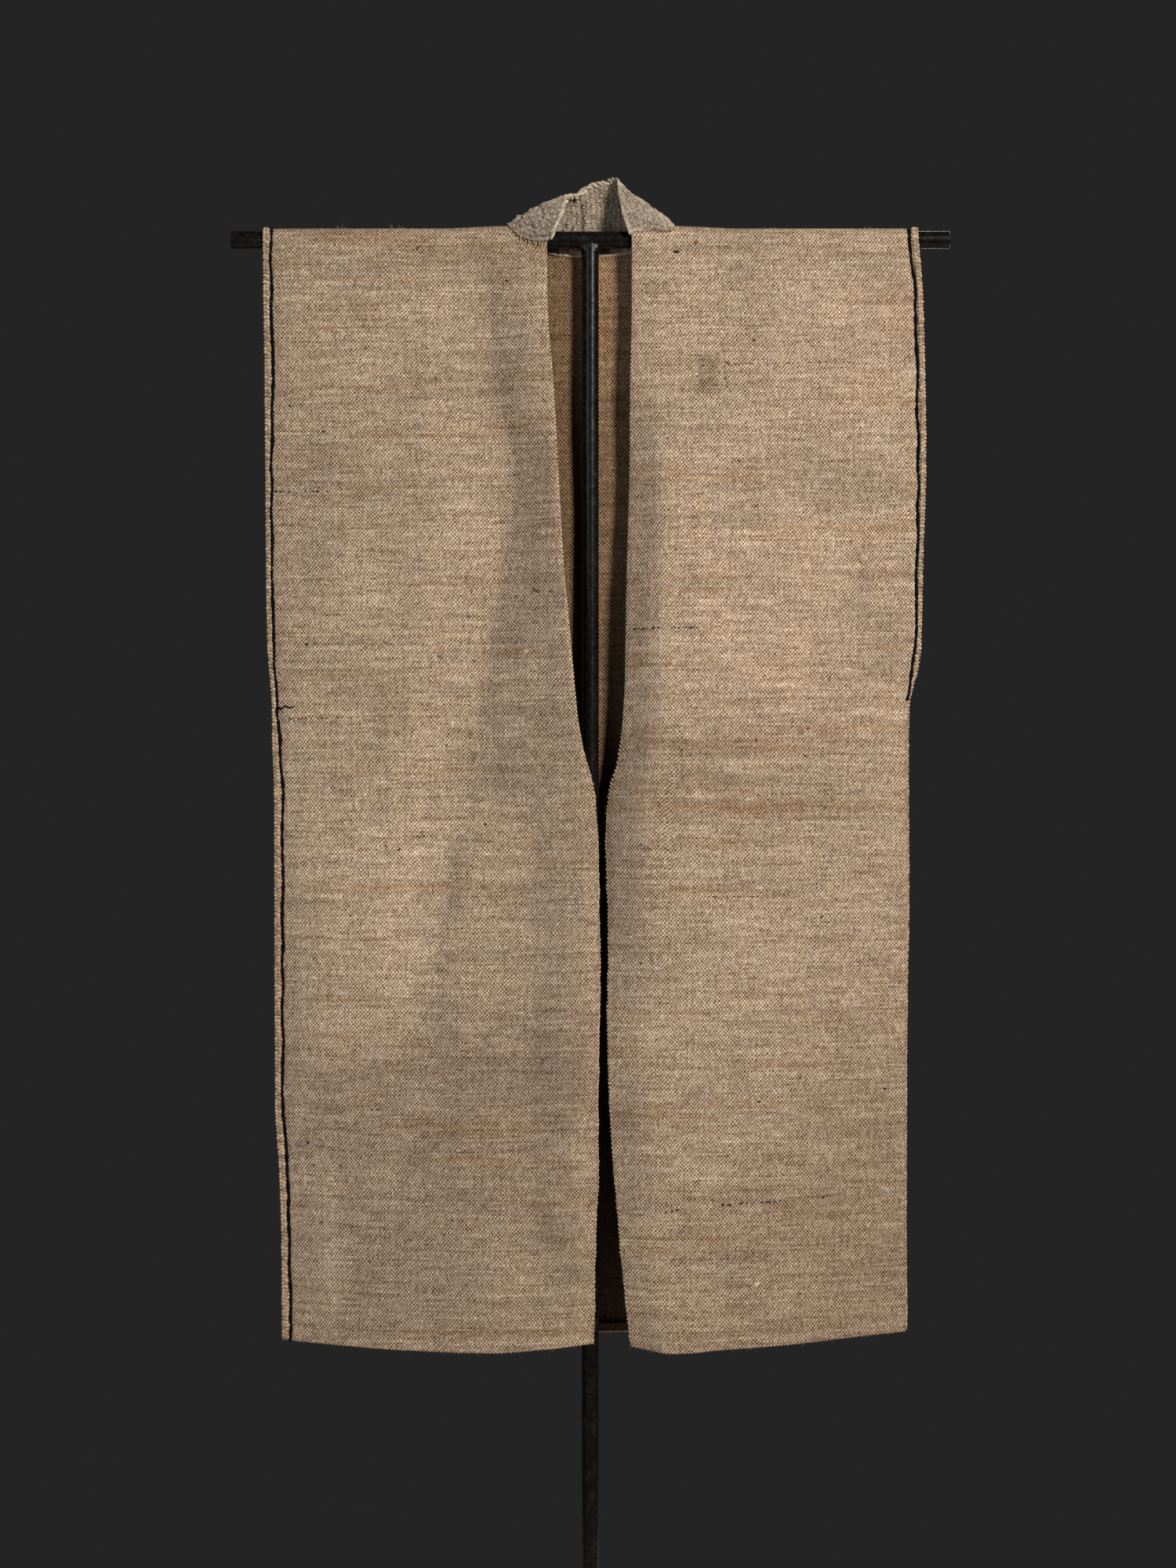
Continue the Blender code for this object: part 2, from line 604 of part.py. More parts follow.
def post(collection, cutters, material):
    """Round post whose welded head spreads under the crossbar and is cut to fit it."""
    points = []
    sections = post_sections()
    for height, half_width, half_depth in sections:
        for side in range(ROUND_SIDES):
            angle = 2.0 * math.pi * side / ROUND_SIDES
            points.append((half_width * math.cos(angle), half_depth * math.sin(angle), height))
    faces = [tuple(range(ROUND_SIDES))[::-1]]
    for ring in range(len(sections) - 1):
        for side in range(ROUND_SIDES):
            corner = ring * ROUND_SIDES + side
            beside = ring * ROUND_SIDES + (side + 1) % ROUND_SIDES
            faces.append((corner, beside, beside + ROUND_SIDES, corner + ROUND_SIDES))
    head = (len(sections) - 1) * ROUND_SIDES
    faces.append(tuple(range(head, head + ROUND_SIDES)))
    item = place(mesh_object("post", points, faces), collection, material)
    cutter = round_bar("crossbar_seat", ROD_RADIUS + STEEL_GAP, BASE_SIDE, cutters)
    cutter.location = (0.0, 0.0, ROD_AXIS_HEIGHT)
    cutter.hide_render = True
    cutter.display_type = "WIRE"
    seat = item.modifiers.new("crossbar_seat", "BOOLEAN")
    seat.operation = "DIFFERENCE"
    seat.solver = "EXACT"
    seat.object = cutter
    shade_round(item)
    return item


def build():
    """The whole coat on its stand."""
    clear_scene()
    coat = make_collection("sleeveless_work_coat")
    cutters = make_collection("cutters")
    steel = make_material("blackened_steel", (0.022, 0.020, 0.019), 0.42, 0.9)
    cloth = make_material("handwoven_cloth", (0.42, 0.33, 0.23), 0.95, 0.0)
    quilting = make_material("quilted_cotton", (0.38, 0.34, 0.28), 0.95, 0.0)
    hang_point = bpy.data.objects.new("crossbar_middle", None)
    coat.objects.link(hang_point)
    hang_point.location = (0.0, 0.0, ROD_AXIS_HEIGHT)
    base_plate(coat, steel)
    post(coat, cutters, steel)
    crossbar(coat, steel, hang_point)
    left = cloth_length("left", -1, (LEFT_FRONT, LEFT_BACK), coat, cloth, hang_point)
    right = cloth_length("right", 1, (RIGHT_FRONT, RIGHT_BACK), coat, cloth, hang_point)
    quilted_collar({-1: left, 1: right}, coat, quilting, hang_point)


build()
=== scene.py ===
# Looks of a sleeveless work coat of thick handwoven cloth, hanging on a blackened steel stand.
# Left and right are those of a viewer who faces the open front.
# Lengths in the tables are millimetres. Places out are from the middle, drops from the crossbar.

import math

import bpy
import numpy as np
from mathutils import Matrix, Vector


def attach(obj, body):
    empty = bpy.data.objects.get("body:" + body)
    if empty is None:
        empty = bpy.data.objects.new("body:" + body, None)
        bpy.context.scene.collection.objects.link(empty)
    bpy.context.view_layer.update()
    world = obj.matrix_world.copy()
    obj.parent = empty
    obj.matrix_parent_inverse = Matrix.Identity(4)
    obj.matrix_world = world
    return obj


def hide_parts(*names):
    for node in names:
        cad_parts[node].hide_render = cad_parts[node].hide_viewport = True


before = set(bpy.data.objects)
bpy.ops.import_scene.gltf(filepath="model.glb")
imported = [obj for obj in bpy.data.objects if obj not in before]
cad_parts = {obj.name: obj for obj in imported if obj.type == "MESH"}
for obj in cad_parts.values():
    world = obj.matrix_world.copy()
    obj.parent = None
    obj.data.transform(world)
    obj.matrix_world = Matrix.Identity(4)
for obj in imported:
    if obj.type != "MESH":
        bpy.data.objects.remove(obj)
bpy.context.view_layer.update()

MM = 0.001

# Form of the cloth
ROD_AXIS_HEIGHT = 1500.0
CLOTH_WALL = 2.2
INNER_RADIUS = 8.45
OUTER_RADIUS = INNER_RADIUS + CLOTH_WALL
SHOULDER_QUARTER = OUTER_RADIUS * math.pi / 2.0
HEM_TURN_UP = 10.0
TURN_STEP = 0.6
BACK_SEAM_ALLOWANCE = 8.0
SEAM_GAP = 0.3
NECK_FOLD_TOP = 44.0
NECK_FOLD_END = 542.0
NECK_FOLD_FALL = 1.5
NECK_FOLD_LEAST = 3.0
SLASH_REACH = 74.0
SLASH_FRONT_WIDTH = ((0.0, 33.2), (60.0, 52.0), (140.0, 60.0))
NECK_PATH = {"left_front": 15.5, "right_front": 2.5, "left_back": 27.5, "right_back": 27.5}
NECK_FALL = 2.4
NECK_ROUND = {"left_front": 0.55, "right_front": 0.28, "left_back": 0.55, "right_back": 0.55}
NECK_LAST_DROP = 18.0
SHOULDER_LIFT = 2.4
SHOULDER_LIFT_WIDTH = 70.0
LEVEL_HEM_DROP = 1040.0
HEM_BLEND_START = 985.0

SINGLE_CLOTH = 2.2
DOUBLE_CLOTH = 4.2
GRID_WIDTH = 300.0
SHOULDER_STEPS = 10
ROW_STEP = 4.8
COLUMN_STEP = 4.8
GROOVE_COLUMNS = (0.0, 1.1, 2.4, 4.2)
FLANGE_SHARES = (0.3, 0.55, 0.8)
ROUNDING_SHARES = (0.0, 0.14, 0.5, 1.0)
LAST_HEM_ROW = 2.6
HEM_ROWS = 4
NECK_COLUMNS = {-1: 12, 1: 15}
FOLD_STEP = 2.5
FAR = 1000.0

# For the tables: half of a seam's gap, the right back's depth where the edges at the side seam are
# turned backwards, and the depth of cloth on the crossbar
TOUCH = SEAM_GAP / 2.0
TURNED = 0.9
AXIS = INNER_RADIUS
DEPTH_SHARES = (0.0, 0.15, 0.40, 0.65, 0.85, 1.0)

# drop, seam, flange, turn, inner, then the clear depth at six shares of the width
LEFT_FRONT = (
    (0, 301.8, 7.0, 0, 40.8, AXIS, AXIS, AXIS, AXIS, 10, 11),
    (60, 301.1, 7.2, 0, 40.4, 8.3, 8.5, 9, 10, 9.5, 12),
    (140, 299.8, 7.4, 0, 34.0, 7.5, 9, 12, 14, 13, 18),
    (220, 301.1, 5.5, 0, 29.5, 6.5, 9.5, 15, 19, 18, 24),
    (300, 300.7, 5.4, 0, 24.3, 5.5, 10, 18, 22, 23, 30),
    (380, 299.3, 5.8, 0, 16.9, 4, 10, 20, 23, 28, 33),
    (440, 296.6, 4.5, 0, 12.8, TOUCH, 10, 21, 24, 31, 34),
    (480, 293.6, 7.0, 0, 7.0, TOUCH, 11, 22, 25, 33, 34),
    (530, 291.3, 7.6, 0, -5.8, TOUCH, 12, 23, 27, 35, 34),
    (620, 291.2, 7.5, 0, -9.7, TOUCH, 14, 25, 33, 37, 33),
    (720, 291.1, 7.3, 0, -10.9, TOUCH, 16, 28, 37, 37, 31),
    (820, 290.8, 7.1, 0, -9.6, TOUCH, 18, 32, 40, 37, 29),
    (880, 286.6, 7.6, 0, -10.2, TOUCH, 19, 34, 42, 37, 28),
    (930, 285.3, 7.0, 0, -6.8, TOUCH, 20, 36, 43, 37, 26),
    (1045, 283.1, 8.3, 0, -2.8, TOUCH, 22, 40, 46, 38, 22),
)

RIGHT_FRONT = (
    (0, 301.2, 8.1, 0, 38.7, AXIS, AXIS, AXIS, AXIS, 10, 11),
    (60, 307.2, 6.5, 0, 38.5, 8.3, 8.5, 9, 10, 11, 11),
    (140, 308.8, 7.0, 0, 36.5, 7.5, 9, 12, 14, 15, 13),
    (220, 310.1, 6.4, 0, 35.1, 6.5, 9.5, 15, 19, 20, 15),
    (300, 308.9, 5.2, 0, 32.4, 5.5, 10, 18, 24, 26, 17),
    (380, 307.0, 4.5, 10, 30.0, 4, 10, 20, 28, 31, 19),
    (440, 298.2, 6.5, 75, 28.0, TOUCH, 10, 22, 31, 35, 21),
    (480, 297.6, 7.0, 85, 25.5, TOUCH, 11, 23, 32, 37, 22),
    (530, 297.7, 7.0, 85, 16.6, TOUCH, 12, 24, 33, 38, 23),
    (620, 298.0, 7.0, 85, 15.2, TOUCH, 13, 26, 35, 40, 26),
    (720, 296.4, 7.0, 85, 16.0, TOUCH, 14, 28, 37, 42, 31),
    (820, 295.8, 7.0, 85, 16.8, TOUCH, 14, 30, 39, 43, 34),
    (880, 295.6, 7.0, 85, 20.2, TOUCH, 14, 31, 41, 44, 34),
    (930, 295.5, 7.0, 85, 26.4, TOUCH, 14, 32, 42, 45, 34),
    (1045, 296.5, 7.0, 85, 39.6, TOUCH, 14, 34, 46, 49, 33),
)

LEFT_BACK = (
    (0, 301.8, 7.0, 0, TOUCH, AXIS, AXIS, AXIS, AXIS, 11, 14),
    (60, 302.0, 7.0, 0, TOUCH, 8.3, 8.5, 9, 10, 11, 14),
    (140, 302.0, 7.0, 0, TOUCH, 7.5, 9, 12, 13, 13, 15),
    (220, 301.8, 6.5, 0, TOUCH, 6.5, 10, 15, 16, 15, 17),
    (300, 301.0, 6.5, 0, TOUCH, 5.5, 11, 18, 19, 17, 19),
    (380, 299.6, 6.0, 0, TOUCH, 4, 11, 20, 22, 20, 21),
    (440, 296.6, 4.5, 0, TOUCH, TOUCH, 11, 22, 25, 22, 22),
    (480, 293.6, 7.0, 0, TOUCH, TOUCH, 12, 24, 27, 23, 23),
    (530, 291.3, 7.6, 0, TOUCH, TOUCH, 12, 25, 28, 24, 24),
    (620, 291.2, 7.5, 0, TOUCH, TOUCH, 13, 28, 31, 26, 25),
    (720, 291.1, 7.3, 0, TOUCH, TOUCH, 14, 31, 35, 28, 27),
    (820, 290.8, 7.1, 0, TOUCH, TOUCH, 15, 34, 39, 31, 29),
    (880, 286.6, 7.6, 0, TOUCH, TOUCH, 15, 35, 41, 33, 30),
    (930, 285.3, 7.0, 0, TOUCH, TOUCH, 16, 37, 43, 34, 31),
    (1045, 283.1, 8.3, 0, TOUCH, TOUCH, 17, 40, 47, 37, 33),
)

RIGHT_BACK = (
    (0, 301.2, 8.1, 0, TOUCH, AXIS, AXIS, AXIS, AXIS, 11, 14),
    (60, 303.5, 7.2, 0, TOUCH, 8.3, 8.5, 9, 10, 11, 14),
    (140, 304.5, 7.8, 0, TOUCH, 7.5, 9, 12, 14, 14, 15),
    (220, 304.5, 7.5, 0, TOUCH, 6.5, 10, 14, 17, 17, 17),
    (300, 304.0, 5.8, 0, TOUCH, 5.5, 11, 16, 20, 20, 19),
    (380, 303.0, 5.0, 10, TOUCH, 4, 11, 18, 23, 23, 21),
    (440, 298.2, 6.5, 75, TOUCH, TURNED, 12, 21, 26, 25, 22),
    (480, 297.6, 7.0, 85, TOUCH, TURNED, 13, 23, 28, 26, 23),
    (530, 297.7, 7.0, 85, TOUCH, TURNED, 14, 25, 29, 27, 24),
    (620, 298.0, 7.0, 85, TOUCH, TURNED, 16, 28, 32, 28, 25),
    (720, 296.4, 7.0, 85, TOUCH, TURNED, 18, 32, 35, 30, 27),
    (820, 295.8, 7.0, 85, TOUCH, TURNED, 20, 36, 38, 32, 29),
    (880, 295.6, 7.0, 85, TOUCH, TURNED, 21, 38, 40, 33, 30),
    (930, 295.5, 7.0, 85, TOUCH, TURNED, 22, 40, 42, 34, 31),
    (1045, 296.5, 7.0, 85, TOUCH, TURNED, 24, 44, 46, 36, 33),
)

HEM_DROPS = {
    "left_front": (1042.0, 1042.8, 1045.4, 1046.6, 1044.5, 1041.6),
    "left_back": (1042.0, 1041.6, 1041.0, 1040.6, 1040.2, 1039.8),
    "right_front": (1033.7, 1035.9, 1039.9, 1043.3, 1046.7, 1042.4),
    "right_back": (1033.7, 1034.4, 1036.2, 1038.2, 1039.4, 1039.8),
}

# Soft folds of each panel. rise: height above the cloth, or depth below it where negative. Then the
# width on the side edge's side, the width on the opening's side, and the places along the fold, as
# distances out from the middle and drops below the crossbar.
FOLDS = {
    "left_front": (
        (1.4, 30.0, 26.0, ((130, 60), (138, 240), (160, 420), (176, 620), (190, 760))),
        (1.2, 34.0, 34.0, ((232, 90), (224, 260), (238, 430))),
        (-1.1, 26.0, 22.0, ((266, 280), (252, 420), (246, 600))),
        (1.5, 40.0, 40.0, ((100, 820), (88, 930), (84, 1040))),
        (-1.3, 34.0, 30.0, ((176, 840), (164, 940), (158, 1040))),
        (0.8, 16.0, 16.0, ((282, 520), (276, 700), (280, 860))),
    ),
    "right_front": (
        (1.0, 34.0, 34.0, ((196, 80), (188, 240), (204, 420))),
        (-0.9, 30.0, 30.0, ((262, 140), (256, 300), (264, 430))),
        (1.3, 30.0, 34.0, ((150, 600), (170, 800), (176, 960), (180, 1040))),
        (-1.2, 30.0, 30.0, ((226, 620), (236, 820), (232, 1040))),
        (1.2, 26.0, 20.0, ((90, 800), (84, 930), (82, 1040))),
    ),
    "left_back": (
        (1.6, 34.0, 34.0, ((70, 80), (84, 300), (96, 560), (104, 820), (108, 1040))),
        (-1.6, 30.0, 24.0, ((150, 200), (160, 460), (172, 760), (180, 1040))),
        (1.4, 30.0, 34.0, ((226, 120), (220, 380), (232, 640), (240, 1040))),
        (-7.5, 60.0, 60.0, ((0, 150), (0, 420), (0, 820))),
    ),
    "right_back": (
        (1.5, 34.0, 28.0, ((78, 60), (70, 320), (84, 600), (90, 860), (88, 1040))),
        (-1.7, 32.0, 26.0, ((140, 260), (150, 520), (140, 800), (134, 1040))),
        (1.3, 28.0, 34.0, ((210, 100), (222, 360), (214, 620), (206, 1040))),
        (-7.5, 60.0, 60.0, ((0, 150), (0, 420), (0, 820))),
        (-1.1, 22.0, 22.0, ((264, 200), (256, 420), (260, 700), (262, 980))),
    ),
}
FOLD_END_SHARE = 0.2

# Flare of the opening edges, with the fold beside it: drop, then places out and the heights there.
FLARES = {
    "left_front": (
        (0, (130, 0), (100, 0), (75, 0), (55, 0), (40, 0)),
        (40, (140, 0), (104, -1.5), (80, 0.5), (58, 1.5), (40, 2)),
        (85, (150, 0), (97, -4), (74, 1), (58, 4), (38, 6)),
        (144, (155, 0), (92, -6), (72, 1), (55, 5), (34, 6.5)),
        (218, (150, 0), (77, -7.5), (63, -1.5), (48, 4.5), (29, 10)),
        (293, (155, 0), (84, -8.5), (66, -1.5), (48, 5), (25, 11)),
        (400, (165, 0), (104, -9.5), (82, -2.5), (55, 6), (16, 13)),
        (515, (185, 0), (124, -7), (102, -2), (60, 5), (-2, 8)),
        (627, (195, 0), (141, -5.5), (124, -1), (90, 1.5), (-10, 3)),
        (740, (200, 0), (150, -2.5), (134, -0.5), (100, 0.5), (-10, 0)),
        (830, (200, 0), (150, 0), (134, 0), (100, 0), (-10, 0)),
    ),
    "right_front": (
        (0, (90, 0), (66, 0), (52, 0), (39, 0)),
        (100, (90, 0), (66, 0), (52, -1.5), (37, -4)),
        (150, (90, 0), (66, 0.5), (52, -2), (36, -6)),
        (218, (92, 0), (68, 1), (52, -2.5), (35, -8)),
        (293, (94, 0), (70, 0.5), (52, -2.5), (32, -7)),
        (400, (104, 0), (80, 0), (54, -4), (28, -9)),
        (515, (124, 0), (98, -0.5), (60, -8), (18, -15)),
        (627, (110, 0), (80, 0), (48, -4), (15, -10)),
        (740, (100, 0), (70, 0), (45, 0), (15, -2)),
    ),
}
# Sideways run of the opening edges, away from the middle, at drops below the crossbar
EDGE_RUNS = {
    "left_front": ((480, 0), (540, 1.0), (600, 1.4), (700, 1.6), (840, 1.9), (900, 1.6), (950, 0.4),
                   (1045, -0.6)),
    "right_front": ((420, 0), (480, -3), (538, -6.6), (560, -6.6), (590, -4.6), (627, -2.4), (665, -1.3),
                    (740, -1.4), (780, -0.4), (860, 1.1), (900, 0.5), (960, -1.9), (1045, -1.8)),
}
EDGE_RUN_WIDTH = 55.0
PUFF = 0.45
PUFF_STEP = 42.0
FINE_PUFF = 0.4
HANG_START = 40.0
SEAM_CALM = 26.0
STITCH_GROOVE = 0.8
STITCH_GROOVE_WIDTH = 2.6
FLANGE_CROWN = 0.7
FLANGE_CROWN_RUN = 2.0
FLANGE_SLANT = 0.9
HEM_DIP = 0.35
HEM_DIP_WIDTH = 3.5
HEM_RIPPLE_STEP = 12.6
HEM_RIPPLE_DRIFT = (2.0, 30.0)
FOLD_PRINT = 0.35
FOLD_PRINT_WIDTH = 5.0
FOLD_START_BLEND = 8.0
FOLD_END_BLEND = 20.0
# Sideways sway of the loose opening edge: height, step and seed
LOOSE_SWAYS = ((0.45, 17.0, 9), (0.35, 5.0, 10))
LOOSE_SWAY_START = 60.0
LOOSE_SWAY_REACH = 9.0
TONE_RAGGED = 0.25
TONE_RAGGED_STEP = 9.0
TONE_SOFTNESS = (0.55, 1.25)

# Uneven tone of the cloth, with painted light and shade where folds and the opening edges turn the
# cloth to or from the light: factor on the colour, or on its red, green and blue, then half width,
# half height, out and drop.
TONES_AND_PAINTED_SHADING = {
    "left_front": (
        ((0.86, 0.84, 0.83), 190.0, 60.0, 110.0, 805.0),
        (1.32, 40.0, 130.0, 268.0, 960.0),
        # Painted shade beside the opening edge
        (0.82, 28.0, 350.0, 30.0, 700.0),
        (1.18, 45.0, 90.0, 215.0, 370.0),
        (0.91, 300.0, 28.0, 180.0, 12.0),
        (0.88, 45.0, 85.0, 96.0, 90.0),
        (0.90, 80.0, 34.0, 80.0, 800.0),
        (1.14, 34.0, 60.0, 78.0, 610.0),
        ((0.90, 0.89, 0.88), 260.0, 150.0, 160.0, 990.0),
        (1.22, 110.0, 200.0, 260.0, 640.0),
        (1.10, 70.0, 120.0, 170.0, 600.0),
        ((1.06, 1.06, 1.05), 70.0, 110.0, 118.0, 400.0),
        ((0.92, 0.91, 0.90), 60.0, 9.0, 262.0, 857.0),
        ((0.94, 0.92, 0.90), 150.0, 8.0, 200.0, 378.0),
        ((0.88, 0.86, 0.85), 34.0, 26.0, 248.0, 216.0),
        # Painted shade in the fold beside the opening edge
        (0.92, 34.0, 170.0, 62.0, 170.0),
        (0.92, 38.0, 150.0, 60.0, 400.0),
        ((0.92, 0.91, 0.90), 17.0, 340.0, 301.0, 200.0),
        ((0.90, 0.86, 0.82), 18.0, 16.0, 214.0, 70.0),
    ),
    "right_front": (
        ((0.90, 0.85, 0.79), 190.0, 9.0, 160.0, 536.0),
        ((0.74, 0.71, 0.70), 13.0, 17.0, 109.0, 131.0),
        ((0.86, 0.84, 0.82), 40.0, 8.0, 90.0, 118.0),
        (1.10, 90.0, 120.0, 145.0, 350.0),
        ((0.94, 0.92, 0.90), 150.0, 14.0, 180.0, 470.0),
        (0.96, 200.0, 45.0, 190.0, 515.0),
        # Painted light beside the opening edge
        (1.10, 36.0, 75.0, 54.0, 415.0),
        (0.90, 300.0, 28.0, 190.0, 12.0),
        (0.86, 60.0, 26.0, 250.0, 240.0),
        # Painted light beside the opening edge, near the hem
        (1.16, 32.0, 90.0, 48.0, 990.0),
        (1.05, 120.0, 110.0, 150.0, 690.0),
        ((0.93, 0.92, 0.90), 150.0, 14.0, 120.0, 905.0),
        ((0.90, 0.89, 0.88), 260.0, 110.0, 190.0, 1000.0),
        ((0.90, 0.88, 0.87), 110.0, 230.0, 270.0, 900.0),
        # Painted shade along the opening edge
        (0.90, 22.0, 160.0, 40.0, 300.0),
    ),
    "left_back": (
        ((0.90, 0.88, 0.86), 140.0, 18.0, 140.0, 300.0),
        ((1.06, 1.06, 1.05), 80.0, 90.0, 120.0, 520.0),
        ((0.92, 0.88, 0.83), 160.0, 10.0, 170.0, 760.0),
        ((0.88, 0.87, 0.86), 260.0, 110.0, 160.0, 990.0),
    ),
    "right_back": (
        ((0.90, 0.88, 0.86), 150.0, 16.0, 150.0, 210.0),
        ((1.06, 1.06, 1.05), 90.0, 100.0, 180.0, 420.0),
        ((0.91, 0.87, 0.83), 130.0, 12.0, 120.0, 840.0),
        ((0.88, 0.87, 0.86), 260.0, 110.0, 160.0, 990.0),
    ),
}
# Painted shadow and painted light on the side that faces inwards only, near the middle of the backs, where
# the post and the right front cast shadows: the same columns as above
INSIDE_PAINTED_SHADING = {
    "left_back": (
        ((0.76, 0.74, 0.72), 55.0, 240.0, 26.0, 120.0),
    ),
    "right_back": (
        (1.22, 45.0, 90.0, 22.0, 70.0),
        (0.82, 45.0, 220.0, 22.0, 380.0),
    ),
}
# Darker, warmer colour of the side that faces inwards, as factors: painted shade with painted warm bounce
# light
INSIDE_PAINTED_SHADE_COLOUR = (0.58, 0.49, 0.40)
# Painted shade on the side that faces inwards, deeper further down: drop, factor
INSIDE_SHADE = ((0.0, 1.0), (420.0, 1.0), (620.0, 0.5), (1045.0, 0.4))

# Colours, as linear red, green and blue
ORANGE_BROWN = (0.23, 0.095, 0.032)
BROWN = (0.13, 0.075, 0.04)
GREY_BLUE = (0.13, 0.135, 0.15)
DARK_BLUE = (0.035, 0.037, 0.055)
DARK = (0.03, 0.024, 0.02)
CREAM = (0.62, 0.50, 0.36)
PALE_GREY = (0.50, 0.46, 0.40)
SEWING_BLACK = (0.0035, 0.0032, 0.0048)
HEM_CREAM = (0.44, 0.345, 0.25)
STITCH_CREAM = (0.58, 0.48, 0.36)
WHIP_BROWN = (0.27, 0.16, 0.088)
EDGE_CREAM = (0.37, 0.268, 0.180)
CORD_TINTS = ((0.44, 0.36, 0.27), (0.33, 0.27, 0.20))
FLECK_TINTS = (CREAM, PALE_GREY, CREAM, BROWN, ORANGE_BROWN, DARK, GREY_BLUE)
STRONG_TINTS = FLECK_TINTS[3:]

# Coloured weft threads that show: colour, share of their length that shows, thickness, then both
# ends as out and drop.
COLOURED_PICKS = {
    "left_front": (
        (ORANGE_BROWN, 0.8, 0.8, (291, 453), (224, 452)),
        (ORANGE_BROWN, 0.45, 0.6, (226, 452), (76, 450)),
        (GREY_BLUE, 0.55, 0.6, (291, 382), (39, 381)),
        (DARK_BLUE, 0.7, 0.85, (299, 239), (247, 239)),
        (GREY_BLUE, 0.6, 0.6, (291, 857), (232, 857)),
        (BROWN, 0.7, 0.6, (206, 820), (195, 820)),
        (BROWN, 0.4, 0.5, (180, 133), (96, 134)),
    ),
    "right_front": (
        (DARK_BLUE, 0.75, 0.85, (35, 369), (102, 369)),
        (GREY_BLUE, 0.35, 0.5, (40, 917), (240, 901)),
        (DARK_BLUE, 0.85, 0.8, (69, 915), (83, 912)),
        (GREY_BLUE, 0.7, 0.6, (112, 904), (124, 903)),
        (DARK, 0.85, 0.85, (122, 909), (150, 907)),
        (DARK_BLUE, 0.85, 0.75, (158, 906), (182, 905)),
        (DARK_BLUE, 0.85, 0.75, (214, 904), (225, 902)),
        (ORANGE_BROWN, 0.85, 0.85, (129, 119), (158, 119)),
        (BROWN, 0.5, 0.6, (158, 119), (262, 117)),
        (BROWN, 0.5, 0.6, (109, 621), (154, 621)),
        (GREY_BLUE, 0.35, 0.5, (60, 242), (210, 243)),
        (ORANGE_BROWN, 0.5, 0.5, (221, 475), (236, 475)),
    ),
    "left_back": (
        (ORANGE_BROWN, 0.5, 0.6, (260, 340), (120, 338)),
        (GREY_BLUE, 0.5, 0.6, (230, 610), (30, 612)),
        (DARK_BLUE, 0.6, 0.5, (180, 880), (120, 880)),
    ),
    "right_back": (
        (GREY_BLUE, 0.5, 0.6, (250, 260), (60, 262)),
        (DARK, 0.5, 0.5, (150, 540), (40, 540)),
        (ORANGE_BROWN, 0.45, 0.6, (290, 900), (160, 902)),
    ),
}

# Slubs and flecks that stand out: colour, length, thickness, out, drop.
FLECKS = {
    "left_front": (
        (DARK, 4.0, 1.0, 252, 183), (DARK, 3.5, 0.9, 267, 383), (GREY_BLUE, 5.0, 1.0, 142, 395),
        (BROWN, 10.0, 0.9, 50, 334), (BROWN, 7.0, 0.8, 36, 335), (DARK_BLUE, 4.0, 1.0, 180, 577),
        (DARK, 3.0, 1.1, 266, 854), (BROWN, 5.0, 1.1, 162, 9),
    ),
    "right_front": (
        (DARK, 4.0, 1.1, 155, 97), (DARK, 4.0, 1.0, 156, 474), (ORANGE_BROWN, 4.0, 1.0, 206, 463),
        (DARK_BLUE, 5.0, 0.9, 202, 489), (BROWN, 6.0, 1.0, 218, 640), (DARK, 3.5, 1.0, 279, 803),
        (DARK_BLUE, 4.0, 0.9, 158, 812), (DARK, 6.0, 1.3, 80, 13), (ORANGE_BROWN, 5.0, 1.6, 100, 4),
        (DARK, 3.0, 0.9, 106, 121), (BROWN, 2.5, 0.9, 101, 131), (BROWN, 4.0, 1.0, 127, 133),
        (BROWN, 3.5, 1.0, 118, 139), (DARK, 2.5, 0.8, 129, 141),
    ),
    "left_back": ((DARK, 4.0, 1.0, 120, 200), (ORANGE_BROWN, 5.0, 1.0, 220, 500)),
    "right_back": ((DARK, 4.0, 1.0, 90, 330), (GREY_BLUE, 5.0, 1.0, 200, 700)),
}
RANDOM_FLECKS = 70
STRONG_FLECKS = ((2.0, 5.0), (0.5, 0.75))
PALE_FLECKS = ((2.0, 9.0), (0.6, 0.95))
FLECK_OUTS = (45.0, 285.0)
FLECK_DROPS = (20.0, 1015.0)
FLECK_STRANDS = 3
FLECK_RISE = (-0.3, 0.05, 0.12, 0.05, -0.3)
FLECK_SWELL = (0.35, 0.8, 1.0, 0.75, 0.35)
PICK_SWAY = 1.1
PICK_SWAY_STEP = 9.0
PICK_RUN = 8.0
PICK_LENGTHS = (0.9, 1.0, 1.5, 2.4, 3.6)
PICK_GAPS = (0.5, 1.0, 1.0, 2.2)
PICK_RISE = (-0.3, 0.35, 0.45, 0.35, -0.3)
PICK_SWELL = (0.5, 1.0, 1.05, 1.0, 0.5)

# Threads of the weave
WARP_PITCH = 1.65
WEFT_PITCH = 1.88
RIGHT_SHIFT = 0.6
LATTICE_CONTRAST = 0.31
LATTICE_LEAN = 0.13
# Colours of the weave, from the dark gaps between threads, partly painted shade, to the palest dots
WEAVE_TONES = (
    (0.10, (0.048, 0.022, 0.010)),
    (0.27, (0.116, 0.066, 0.0345)),
    (0.50, (0.241, 0.171, 0.1145)),
    (0.70, (0.384, 0.301, 0.220)),
    (0.98, (0.575, 0.479, 0.378)),
)
WEAVE_RELIEF = 0.34
# How much each kind of unevenness adds to the tone
WARP_STREAKS = 0.38
WEFT_STREAKS = 0.44
DOT_SPREAD = 0.36
FINE_SPREAD = 0.18
BROAD_SPREAD = 0.40
BAND_SPREAD = 0.40
PICK_SPREAD = 0.46
END_SPREAD = 0.26
